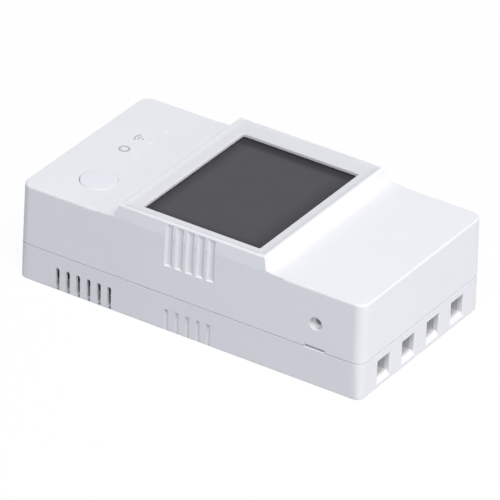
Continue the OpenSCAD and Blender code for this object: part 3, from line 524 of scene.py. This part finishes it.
def capacitor(node, lying):
    """The sleeve, the can's end and the bung, round an upright axis with the bung below, or
    round one that lies along Y with the bung at +Y."""
    low, high = extent(node)
    across, along = ([0, 2], 1) if lying else ([0, 1], 2)
    centre = (low[across] + high[across]) / 2
    r = (high[0] - low[0]) / 2
    foot, face = (high[along], low[along]) if lying else (low[along], high[along])
    way = np.sign(face - foot)
    crimp = foot + way * CRIMP_AT * r
    wrap = filleted([(r - FOOT_HEM, foot), (r, foot), (r, crimp),
                     (r - CRIMP_DEEP, crimp + way * CRIMP_HALF),
                     (r, crimp + 2 * way * CRIMP_HALF), (r, face),
                     (r - FACE_HEM, face), (r - FACE_HEM, face - way * CAN_WALL),
                     (r - 0.5, face - way * 1.5), (r - FOOT_HEM, foot + way * 0.5)],
                    (0.1, 0.5, 0.2, 0.2, 0.2, 0.5, 0.1, 0, 0, 0), closed=True)
    place(f"{node}_sleeve", merged("sleeve", [turned_grid(wrap, centre, 64, lying)], closed=True),
          sleeve(f"shrunk_sleeve_{node}", "#17181A", "#8E9296", centre,
                 "XZ" if lying else "XY"), "root", [node])
    can_end = scored(r - CAN_END_IN, face - way * CAN_WALL / 2, way, centre, lying)
    place(f"{node}_can_end", merged("can_end", [can_end]), can_metal, "root")
    bung = filleted([(AXIS, foot + way * BUNG_IN), (r - BUNG_GAP, foot + way * BUNG_IN),
                     (r - BUNG_GAP, foot + way * BUNG_END), (AXIS, foot + way * BUNG_END)],
                    (0, 0.2, 0, 0))
    place(f"{node}_bung", merged("bung", [turned_grid(bung, centre, 48, lying)]), rubber, "root")


capacitor("bulk_capacitor", True)
capacitor("output_capacitor", False)


# Transformer: a ferrite core in two halves, clamped by yellow polyester tape round the windings.
# The core is pressed powder, dull and fine-grained.
def taped(name, colour, edge, width=3.2):
    """Polyester tape wound round Z: glossy, with the tape's edge as a darker line each width mm."""
    material, shader = finish(name, Roughness=0.22, IOR=1.6, Coat_Weight=0.5)
    at = add(material, "TexCoord").outputs["Object"]
    laps = add(material, "TexWave", {"Vector": at, "Scale": WAVE / (width * MM)},
               bands_direction="Z", wave_profile="SAW")
    line = add(material, "MapRange", {"Value": laps.outputs["Fac"], 1: 0.9, 2: 1.0})
    tone = add(material, "Mix", {0: line.outputs[0], 6: linear(colour), 7: linear(edge)},
               data_type="RGBA")
    bump = add(material, "Bump", {"Height": laps.outputs["Fac"], "Strength": 0.5,
                                  "Distance": 0.06 * MM})
    feed(shader, Base_Color=tone.outputs[2], Normal=bump.outputs[0])
    return material


ferrite = moulded("sintered_ferrite", "#34353A", "#2B2C30", 0.55, grain=0.15)
yellow_tape = taped("polyester_tape", "#E2C84A", "#B99B2B")
softened("transformer_core", "transformer_core_halves", ferrite, "root", 0.25)
softened("transformer_coil", "transformer_windings", yellow_tape, "root", 0.4, 3)


# Chips: moulded epoxy bodies with a line of tinned legs bent down to the board on two sides,
# and a dimple beside the first leg.
LEGS, LEG_PITCH, LEG_W, LEG_T = 4, 1.27, 0.42, 0.15
# How far the legs stand out of the body, run level at each end, and start inside the body
LEG_OUT, LEG_LEVEL, LEG_IN = 0.75, 0.4, 0.2
STAND, DIMPLE_R, DIMPLE_AT = 0.1, 0.28, 0.75
# How far the body is drawn in at its foot, below its top's edge and above it
CASE_CORNER, FOOT_IN, TOP_IN, EDGE_IN, EDGE_T = 0.12, 0.1, 0.16, 0.22, 0.03


def chip(name):
    """A drafted body between two rows of legs: each leg is a strip whose path runs out from the
    body, down, and out along the board."""
    low, high = extent(name)
    x_mid = (low[0] + high[0]) / 2
    body_low, body_high = low + (0, LEG_OUT, STAND), high - (0, LEG_OUT, 0)
    split = (body_low[2] + body_high[2]) / 2
    body = swept(round_rect(body_low[:2], body_high[:2], CASE_CORNER, 3),
                 ((FOOT_IN, body_low[2]), (0, split), (TOP_IN, body_high[2] - EDGE_T),
                  (EDGE_IN, body_high[2])))
    dimple = turned_grid(np.array([(AXIS, high[2] + 0.01), (DIMPLE_R, high[2] + 0.01),
                                   (DIMPLE_R, high[2] - 0.2), (AXIS, high[2] - 0.2)]),
                         body_low[:2] + DIMPLE_AT, 20)
    place(f"{name}_body", merged("body", [body, dimple]), black_case, "root",
          [name])
    w, t = LEG_W / 2, LEG_T / 2
    legs = []
    for side, edge, tip in ((1, body_high[1], high[1]), (-1, body_low[1], low[1])):
        start = edge - side * LEG_IN
        path = np.array([(start, split), (start + side * LEG_LEVEL, split),
                         (tip - side * LEG_LEVEL, low[2] + t), (tip, low[2] + t)])
        for step in range(LEGS):
            x = x_mid + (step - (LEGS - 1) / 2) * LEG_PITCH
            legs.append(np.stack([np.array([(x - w, y, z - t), (x + w, y, z - t),
                                            (x + w, y, z + t), (x - w, y, z + t)])
                                  for y, z in path]))
    place(f"{name}_legs", merged("legs", legs), tin, "root")


chip("metering_chip")
chip("power_chip")


# Standoffs and board link: turned brass pillars screwed through the main board, and a black
# header whose gilded pins, brighter than the brass, join the two boards.
brass = metal("turned_brass", "#C9A85A", 0.26)
gilded = metal("gilded_pins", "#D9B65F", 0.22)
softened("board_standoffs", "standoff_pillars", brass, "root", 0.12)
softened("link_header", "link_header_moulding", black_case, "root", 0.1)
dressed(gilded, "link_pins")


# Radio module: a small board with black resist under the display board. A shield can, drawn
# from plated steel, covers its parts.
black_board = laminate("black_solder_resist", "#1B2023", "#2A3236")
dressed(black_board, "radio_board")
softened("radio_shield", "radio_shield_can", plated_steel, "root", 0.3, 3)


# Display board: the same green laminate, held on the standoffs by four pan-head screws. It
# carries the status diodes, the push switch and, under the light box, the backlight diodes.
def middle(node):
    """The middle of a CAD node in plan, in mm."""
    low, high = extent(node)
    return (low[:2] + high[:2]) / 2


diode_yellow = moulded("diode_phosphor", "#E9E2B0", "#E2DAA4", 0.3)
diode_white = moulded("moulded_diode_body", "#EFEFEC", "#E8E8E5", 0.4)
LIGHTS = range(1, 4)
DIODE_R, DIODE_FLAT_R, DIODE_TOP, DIODE_SIDE, DIODE_LOW = 0.5, 0.3, 0.1, 0.08, -0.05
diode_z = extent("status_leds")[1][2]
diode_lens = filleted([(AXIS, diode_z + DIODE_TOP), (DIODE_FLAT_R, diode_z + DIODE_SIDE),
                       (DIODE_R, diode_z + DIODE_LOW), (AXIS, diode_z + DIODE_LOW)],
                      (0, 0.2, 0, 0))
diodes = [turned_grid(diode_lens, middle(f"light_pipe_{i}"), 24) for i in LIGHTS]
display_print = outlines("display_board", "switch_body", "light_box", "link_header")
dressed(green_board, "display_board")
dressed(diode_yellow, "backlight_leds")
softened("display_screws", "board_screws", plated_steel, "root", 0.06)
softened("status_leds", "status_diode_bodies", diode_white, "root", 0.08)
place("status_diode_lenses", merged("lenses", diodes), diode_yellow, "root")
place("display_board_print", merged("print", display_print, closed=True), board_ink, "root")


# Push switch: a black moulded body with a round plunger, under a steel plate that is riveted
# on by four studs of the moulding. The cap's flange passes round the plate.
PLATE_HALF, PLATE_CORNER, HOLE_R, STUD_AT = 2.45, 0.5, 1.85, 1.95
# Over the moulding: the plate's underside, the start of its rounded edges, its face; the radius
PLATE_LOW, PLATE_EDGE, PLATE_TOP, PLATE_ROUND = -0.02, 0.12, 0.18, 0.06
STUD_R, STUD_FLAT_R, STUD_LOW, STUD_SIDE, STUD_TOP = 0.36, 0.25, 0.15, 0.36, 0.4
phenolic = moulded("moulded_brown_phenolic", "#5B3626", "#4F2E20", 0.4)
switch_at = middle("switch_body")
plate_z = extent("switch_body")[1][2]
square = round_rect(switch_at - PLATE_HALF, switch_at + PLATE_HALF, PLATE_CORNER)
hole = round_rect(switch_at - HOLE_R, switch_at + HOLE_R, HOLE_R)
plate = lofted([(square(0), plate_z + PLATE_LOW), (square(0), plate_z + PLATE_EDGE),
                (square(PLATE_ROUND), plate_z + PLATE_TOP),
                (hole(-PLATE_ROUND), plate_z + PLATE_TOP), (hole(0), plate_z + PLATE_EDGE),
                (hole(0), plate_z + PLATE_LOW)])
stud = filleted([(AXIS, plate_z + STUD_TOP), (STUD_FLAT_R, plate_z + STUD_SIDE),
                 (STUD_R, plate_z + STUD_LOW), (AXIS, plate_z + STUD_LOW)], (0, 0.2, 0, 0))
studs = [turned_grid(stud, switch_at + (x, y), 20)
         for x in (-STUD_AT, STUD_AT) for y in (-STUD_AT, STUD_AT)]
softened("switch_body", "switch_moulding", black_case, "root", 0.1)
softened("switch_plunger", "switch_plunger_pin", phenolic, "plunger", 0.2, 3)
place("switch_plate", joined("plate", plate, closed=True), plated_steel, "root")
place("switch_studs", merged("studs", studs), black_case, "root")


# Light box: white polycarbonate that spreads the diodes' light. The rubber strip beside it has
# fine conducting stripes, drawn 0.5 mm apart to show.
def striped(name, rubber_colour, stripe_colour, pitch=0.5):
    """Silicone rubber with conducting stripes across it, each pitch mm along X."""
    material, shader = finish(name, Roughness=0.5, IOR=1.43)
    at = add(material, "TexCoord").outputs["Object"]
    wave = add(material, "TexWave", {"Vector": at, "Scale": WAVE / (pitch * MM)},
               bands_direction="X")
    stripe = add(material, "MapRange", {"Value": wave.outputs["Fac"], 1: 0.45, 2: 0.55})
    tone = add(material, "Mix", {0: stripe.outputs[0], 6: linear(rubber_colour),
                                 7: linear(stripe_colour)}, data_type="RGBA")
    feed(shader, Base_Color=tone.outputs[2])
    return material


box_white = moulded("moulded_light_box", "#F0F0EE", "#EAEAE8", 0.5)
softened("light_box", "light_box_moulding", box_white, "root", 0.3, 3)
dressed(striped("striped_silicone", "#C08A94", "#2E2427"), "contact_strip")


# Display: two bonded sheets of glass, the lower one longer so that its contact tracks rest on
# the rubber strip, with a dark polarising film on top. The tracks are a paler grey.
TRACK_PITCH, GLASS, TRACK = 0.8, "#4A5558", "#6C7A7C"
glass, glass_shader = finish("ground_glass", Base_Color=linear(GLASS), Roughness=0.12)
tracks = add(glass, "TexWave", {"Vector": add(glass, "TexCoord").outputs["Object"],
                                "Scale": WAVE / (TRACK_PITCH * MM)}, bands_direction="X")
track = add(glass, "MapRange", {"Value": tracks.outputs["Fac"], 1: 0.5, 2: 0.6})
glass_tone = add(glass, "Mix", {0: track.outputs[0], 6: linear(GLASS), 7: linear(TRACK)},
                 data_type="RGBA")
feed(glass_shader, Base_Color=glass_tone.outputs[2])
softened("lcd_panel", "display_glass_sheets", glass, "root", 0.12)
polariser = moulded("polarising_film", "#2E3336", "#2A2F32", 0.3, grain=2, relief=0.002)
glass_low, glass_high = extent("lcd_panel")
# The film leaves a rim of glass free, and at the back the ledge of the longer sheet
FILM_IN, FILM_CORNER, FILM_T, FILM_EDGE, LEDGE = 0.5, 0.2, 0.18, 0.04, 2.4
film = swept(round_rect(glass_low[:2] + FILM_IN, glass_high[:2] - FILM_IN - (0, LEDGE),
                        FILM_CORNER, 3),
             [(0, glass_high[2] - 0.02), (0, glass_high[2] + FILM_T - FILM_EDGE),
              (FILM_EDGE, glass_high[2] + FILM_T)])
place("polarising_film", joined("film", film), polariser, "root")


# Upper housing: the matching ABS moulding, with the raised platform for the display. Its grip
# grooves run on to the platform's rim, where they are deepest.
GROOVE_PITCH, GROOVE_HALF, GROOVE_WIDER, GROOVE_DEEPER = 3, 0.5, 0.62, 0.34
RIM_RADIUS = 0.5
# Where the grooves meet the rim: the height, and how far out their floors and their edges lie
GROOVE_END, FLOOR_Y, EDGE_Y = extent("upper_housing")[1][2] - RIM_RADIUS, 26.450, 26.456


def cover_shape(points):
    """Deepens the seam, and at the rim moves the corners of each groove's edges apart and those
    of its floor inwards."""
    deeper_seam(points)
    from_middle = points[:, 0] - GROOVE_PITCH * np.round(points[:, 0] / GROOVE_PITCH)
    wall = abs(points[:, 1])
    ends = (abs(points[:, 2] - GROOVE_END) < NEAR) & (abs(from_middle) < GROOVE_HALF)
    half = (EDGE_Y - FLOOR_Y) / 2
    edges, floors = ends & (abs(wall - EDGE_Y) < half), ends & (abs(wall - FLOOR_Y) < half)
    points[edges, 0] += GROOVE_WIDER * np.sign(from_middle[edges])
    points[floors, 1] -= GROOVE_DEEPER * np.sign(points[floors, 1])


reshaped(softened("upper_housing", "upper_housing_moulding", housing_abs, "cover",
                  sharp=20), cover_shape)


# Display frame: a satin ABS bezel pressed into the platform's pocket. Its face lies a little
# below the platform's rim, with a radius along its window.
frame_abs = moulded("moulded_satin_abs", "#E1E1E3", "#DCDCDF", 0.34, grain=0.3, relief=0.002)
frame_low, frame_high = extent("display_frame")
lens_low, lens_high = extent("display_lens")
LENS_LAP, FRAME_RADIUS, WINDOW_RADIUS = 1.5, 0.9, 0.4
window_low, window_high = lens_low[:2] + LENS_LAP, lens_high[:2] - LENS_LAP
# The face's depth, the width of the slope up to the rim, and the radius along the window
SUNK, SLOPE, LIP = 0.28, 1.4, 0.25
FRAME_EDGE, RIM_FLAT = 0.03, 0.1
# How far the frame reaches past its node towards its pocket's walls: least to the front, where
# its gap shows
CREEP_LOW, CREEP_HIGH = np.array((0.09, 0.01)), np.array((0.06, 0.09))


def bezel():
    """The frame's top and walls. The top is sunk a little and curves up to the rim round it as
    a quarter of a sine, and its outer outline blends into the window's outline."""
    outer = round_rect(frame_low[:2] - CREEP_LOW, frame_high[:2] + CREEP_HIGH, FRAME_RADIUS)
    inner = round_rect(window_low, window_high, WINDOW_RADIUS)
    rim, bottom = frame_high[2], frame_low[2]
    rings = [(outer(0), bottom), (outer(0), rim - FRAME_EDGE), (outer(FRAME_EDGE), rim)]
    rings += [(outer(RIM_FLAT + SLOPE * way), rim - SUNK * math.sin(math.pi / 2 * way))
              for way in np.linspace(0, 1, 9)[1:]]
    rings += [(inner(-LIP * (1 - math.sin(a))), rim - SUNK - LIP * (1 - math.cos(a)))
              for a in np.radians(np.linspace(0, 90, 6))]
    rings += [(inner(0), bottom)]
    return joined("bezel", lofted(rings), closed=True)


place("display_bezel", bezel(), frame_abs, "cover", ["display_frame"])


# Display lens: a hard-coated acrylic plate under the frame. A black border is printed on
# its underside, and the grey display shows through the clear middle. Towards the border the
# grey darkens in a long fade, which is painted shade of the frame's walls.
LENS_CORNER, LENS_EDGE = 0.5, 0.1
# The printed border's black, which the painted shade also fades to, and the display's two greys
BORDER_AND_SHADE_BLACK, GREY_DARK, GREY_PALE, GREY_SIZE = "#242228", "#464648", "#4A4A4C", 9
# Where the black ends and the full grey starts, in mm from the lower and the upper window edge
# along X, and along Y. The black is partly the printed border; the long fades are painted shade
PRINT_AND_SHADE_FADES = (((-1.4, 4.6), (4.6, -6.5)), ((-1.6, 3.9), (-1.8, -4.6)))


def lens_print_and_shade():
    """Printed black along the window's edges, and painted shade of the frame's walls that fades it
    into the grey of the display inwards.
    """
    material, shader = finish("acrylic_print_and_painted_shade", Roughness=0.2, IOR=1.49,
                              Specular_IOR_Level=0.12)
    at = add(material, "TexCoord").outputs["Object"]
    split = add(material, "SeparateXYZ", {0: at})
    inside = None
    for i, axis in enumerate("XY"):
        for edge, (black, grey) in ((window_low[i], PRINT_AND_SHADE_FADES[i][0]), (window_high[i], PRINT_AND_SHADE_FADES[i][1])):
            # Each step darkens the grey towards one window edge: the printed border, and painted
            # shade over the long fade
            step = add(material, "MapRange", {
                "Value": split.outputs[axis], 1: (edge + black) * MM, 2: (edge + grey) * MM},
                interpolation_type="SMOOTHSTEP")
            inside = step.outputs[0] if inside is None else add(
                material, "Math", {0: inside, 1: step.outputs[0]}, operation="MULTIPLY").outputs[0]
    cells = add(material, "TexNoise", {"Vector": at, "Scale": 1 / (GREY_SIZE * MM), "Detail": 1})
    grey = add(material, "Mix", {0: cells.outputs["Fac"], 6: linear(GREY_DARK),
                                 7: linear(GREY_PALE)}, data_type="RGBA")
    tone = add(material, "Mix", {0: inside, 6: linear(BORDER_AND_SHADE_BLACK), 7: grey.outputs[2]},
               data_type="RGBA")
    feed(shader, Base_Color=tone.outputs[2])
    return material


lens = swept(round_rect(lens_low[:2], lens_high[:2], LENS_CORNER),
             filleted([(1, lens_low[2]), (0, lens_low[2]), (0, lens_high[2]), (1, lens_high[2])],
                      (0, LENS_EDGE, LENS_EDGE, 0)))
place("display_lens_plate", joined("lens", lens), lens_print_and_shade(), "cover",
      ["display_lens"])


# Push button: a white ABS cap in a round hole, with a flange under the roof that keeps it
# in and a post that reaches the switch on the display board.
def turned(name, profile, centre, steps=64):
    """A mesh of a profile turned once round an upright axis, all in mm."""
    return joined(name, turned_grid(profile, centre, steps))


ROOF_T, CAP_PROUD, CAP_CROWN, CAP_EDGE = 1.8, 0.1, 0.03, 0.12
CAP_R, CAP_WALL, CAP_TOP_T, POST_R = 4.72, 1.2, 1.3, 1.5
FLANGE_OUT, FLANGE_T = 0.85, 0.8
# The cap lies a little off the middle of its hole
CAP_OFF = np.array((0.01, 0.055))
cap_abs = moulded("moulded_cap_abs", "#ECECF0", "#E9E9ED", 0.42)
cap_low, cap_high = extent("main_button")
flat_z = cap_high[2] - CAP_PROUD
roof_z = flat_z - ROOF_T
cap_profile = filleted(
    [(AXIS, cap_high[2] + CAP_CROWN), (CAP_R - CAP_EDGE, cap_high[2]),
     (CAP_R, flat_z - CAP_EDGE), (CAP_R, roof_z), (CAP_R + FLANGE_OUT, roof_z),
     (CAP_R + FLANGE_OUT, roof_z - FLANGE_T),
     (CAP_R - CAP_WALL, roof_z - FLANGE_T), (CAP_R - CAP_WALL, flat_z - CAP_TOP_T),
     (POST_R, flat_z - CAP_TOP_T), (POST_R, cap_low[2]), (AXIS, cap_low[2])],
    (0, 0.12, 0.1, 0.1, 0.15, 0.15, 0.2, 0.3, 0.3, 0.2, 0))
place("push_button_cap", turned("cap", cap_profile[::-1], middle("main_button") + CAP_OFF),
      cap_abs, "button", ["main_button"])


# Light pipes: three frosted polycarbonate pins that carry the status lights up through the
# roof. Their tips are slightly domed.
TIP_R, TIP_FLAT_R, DOME, TIP_EDGE = 0.64, 0.4, 0.05, 0.03
COLLAR_R, COLLAR_T, SHANK_R = 1.5, 0.9, 1
pipe_clear = moulded("frosted_polycarbonate", "#F6F6F8", "#F2F2F5", 0.35, ior=1.58)
for i in LIGHTS:
    low, high = extent(f"light_pipe_{i}")
    profile = filleted([(AXIS, high[2] + DOME), (TIP_FLAT_R, high[2] + TIP_EDGE),
                        (TIP_R, high[2] - TIP_EDGE), (TIP_R, roof_z), (COLLAR_R, roof_z),
                        (COLLAR_R, roof_z - COLLAR_T),
                        (SHANK_R, roof_z - COLLAR_T), (SHANK_R, low[2]), (AXIS, low[2])],
                       (0, 0.3, 0.1, 0.1, 0.15, 0.15, 0.1, 0.2, 0))
    place(f"status_light_pipe_{i}", turned("pipe", profile[::-1], middle(f"light_pipe_{i}"), 32),
          pipe_clear, "cover", [f"light_pipe_{i}"])


# Printed signs: a ring beside the first light and wireless arcs beside the second, in grey
# ink 0.02 mm thick.
INK_UNDER, INK_OVER = 0.01, 0.02
STROKE_STEPS = 40
ink = moulded("printed_grey_ink", "#B9B9C0", "#B1B1B9", 0.5, grain=0.3)


def stroke(centre, radius, width, start, end):
    """A band of ink along an arc from one angle to another in degrees, with a flat top."""
    angle = np.radians(np.linspace(start, end, STROKE_STEPS))
    section = [(-width / 2, -INK_UNDER), (-width / 2, INK_OVER), (width / 2, INK_OVER),
               (width / 2, -INK_UNDER)]
    grid = np.stack([np.column_stack([centre[0] + (radius + across) * np.cos(angle),
                                      centre[1] + (radius + across) * np.sin(angle),
                                      np.full(STROKE_STEPS, flat_z + up)])
                     for across, up in section])
    return grid.transpose(1, 0, 2)


# Places beside the lights, then radius and width, and for a dot and two arcs half their angle
RING_OFF, RING_R, RING_W = (-3.4, 0.4), 1.22, 0.55
ARCS_OFF, ARCS = (-2.5, 0.3), ((0.16, 0.3, 179), (1.05, 0.42, 48), (2.0, 0.46, 46))
ring = [stroke(middle("light_pipe_1") + RING_OFF, RING_R, RING_W, 0, 360 - 360 / STROKE_STEPS)]
arcs = [stroke(middle("light_pipe_2") + ARCS_OFF, r, w, 180 - half, 180 + half)
        for r, w, half in ARCS]
place("printed_ring", merged("ring", ring, closed=True), ink, "cover")
place("printed_arcs", merged("arcs", arcs), ink, "cover")


# Studio: a pale floor, a white surround, one broad lamp from above the near right corner and
# a weaker one that lights the wired end from the side.
def shows_surround(surface):
    """1 for the rays that show the surround: from the camera, off a gloss or through glass."""
    path = add(surface, "LightPath")
    shows = path.outputs["Is Camera Ray"]
    for name in ("Is Glossy Ray", "Is Transmission Ray"):
        shows = add(surface, "Math", {0: shows, 1: path.outputs[name]},
                    operation="MAXIMUM").outputs[0]
    return shows


AMBIENT, AMBIENT_COLOUR = 0.385, (0.88, 0.95, 1.13, 1)
world = bpy.data.worlds.new("white_surround")
world.use_nodes = True
bpy.context.scene.world = world
ambient = world.node_tree.nodes["Background"]
ambient.inputs["Color"].default_value = AMBIENT_COLOUR
ambient.inputs["Strength"].default_value = AMBIENT
white = add(world, "Background", {"Color": (1, 1, 1, 1)})
surround = add(world, "MixShader", {0: shows_surround(world), 1: ambient.outputs[0],
                                    2: white.outputs[0]})
feed(world.node_tree.nodes["World Output"], Surface=surround.outputs[0])

# The floor lies just under the object. It glows in part for the rays that show the surround,
# and keeps the object's shadow
FLOOR, FLOOR_Z = 6.0, -0.02 * MM
GLOW, GLOW_SHARE = 1.07, 0.88
floor_mesh = bpy.data.meshes.new("floor")
floor_mesh.from_pydata([(x * FLOOR, y * FLOOR, FLOOR_Z)
                        for x, y in ((-1, -1), (1, -1), (1, 1), (-1, 1))], [], [(0, 1, 2, 3)])
floor = bpy.data.objects.new("floor", floor_mesh)
bpy.context.scene.collection.objects.link(floor)
paper, paper_shader = finish("white_paper", Base_Color=linear("#B2B4BB"), Roughness=0.9)
floor_mesh.materials.append(paper)
glow = add(paper, "Emission", {"Color": (1, 1, 1, 1), "Strength": GLOW})
# The paper under the object doesn't glow, so that its openings stay dark. Only the camera sees
# it there: light from below passes, as it does through all the paper for a view from below. What
# lies under the object is found from how far it is outside the centres of the rounded corners
REST_CORNER, REST_RADIUS = Vector((*CORNER_AT, 1)) * MM, 2.2 * MM
offset = add(paper, "TexCoord").outputs["Object"]
for operation, other in (("ABSOLUTE", (0, 0, 0)), ("SUBTRACT", REST_CORNER),
                         ("MAXIMUM", (0, 0, 0))):
    offset = add(paper, "VectorMath", {0: offset, 1: other}, operation=operation).outputs[0]
reach = add(paper, "VectorMath", {0: offset}, operation="LENGTH")
under = add(paper, "Math", {0: reach.outputs["Value"], 1: REST_RADIUS}, operation="LESS_THAN")
clear = add(paper, "Math", {0: 1.0, 1: under.outputs[0]}, operation="SUBTRACT")
lit = add(paper, "Math", {0: shows_surround(paper), 1: clear.outputs[0]}, operation="MULTIPLY")
share = add(paper, "Math", {0: lit.outputs[0], 1: GLOW_SHARE}, operation="MULTIPLY")
glowing = add(paper, "MixShader", {0: share.outputs[0], 1: paper_shader.outputs[0],
                                   2: glow.outputs[0]})
seen = add(paper, "LightPath").outputs["Is Camera Ray"]
below = add(paper, "NewGeometry").outputs["Backfacing"]
unseen_under = add(paper, "Math", {0: under.outputs[0], 1: seen}, operation="SUBTRACT")
opened = add(paper, "Math", {0: unseen_under.outputs[0], 1: below}, operation="MAXIMUM")
mixed = add(paper, "MixShader", {0: opened.outputs[0], 1: glowing.outputs[0],
                                 2: add(paper, "BsdfTransparent").outputs[0]})
feed(paper.node_tree.nodes["Material Output"], Surface=mixed.outputs[0])

TARGET = Vector((0, 0, 14 * MM))


def lamp(name, towards, away, size, power, colour):
    """A round area lamp that shines on the object from a direction."""
    light = bpy.data.lights.new(name, "AREA")
    light.shape, light.size, light.energy, light.color = "DISK", size, power, colour
    stand = bpy.data.objects.new(name, light)
    bpy.context.scene.collection.objects.link(stand)
    towards = Vector(towards).normalized()
    stand.location = TARGET + towards * away
    stand.rotation_euler = (-towards).to_track_quat("-Z", "Y").to_euler()


lamp("broad_lamp", (0.43, -0.37, 0.82), away=1.1, size=0.6, power=9.1, colour=(1, 0.975, 0.925))
lamp("side_lamp", (1.0, 0.1, 0.2), away=1.2, size=0.7, power=3.5, colour=(1, 0.985, 0.955))

# The camera was fitted to the object's straight edges. OFF is its place from the target, along
# its own axes to the right, up and back
CAMERA_AZIMUTH, CAMERA_ELEVATION, CAMERA_ROLL = (math.radians(a) for a in
                                                 (32.040, 30.574, 2.256))
CAMERA_OFF = Vector((-0.035 * MM, -1.923 * MM, 1.57808))
CAMERA_LENS, CAMERA_SENSOR, VIEW_END = 472.48, 36, 20
back = Vector((math.sin(CAMERA_AZIMUTH) * math.cos(CAMERA_ELEVATION),
               -math.cos(CAMERA_AZIMUTH) * math.cos(CAMERA_ELEVATION),
               math.sin(CAMERA_ELEVATION)))
right = Vector((math.cos(CAMERA_AZIMUTH), math.sin(CAMERA_AZIMUTH), 0))
up = back.cross(right)
turn_c, turn_s = math.cos(CAMERA_ROLL), math.sin(CAMERA_ROLL)
right, up = turn_c * right + turn_s * up, turn_c * up - turn_s * right
axes = Matrix((right, up, back)).transposed()
view = bpy.data.cameras.new("camera")
view.lens, view.sensor_width, view.clip_end = CAMERA_LENS, CAMERA_SENSOR, VIEW_END
camera = bpy.data.objects.new("camera", view)
bpy.context.scene.collection.objects.link(camera)
camera.matrix_world = Matrix.Translation(axes @ CAMERA_OFF + TARGET) @ axes.to_4x4()
bpy.context.scene.camera = camera
bpy.context.scene.view_settings.view_transform = "Standard"
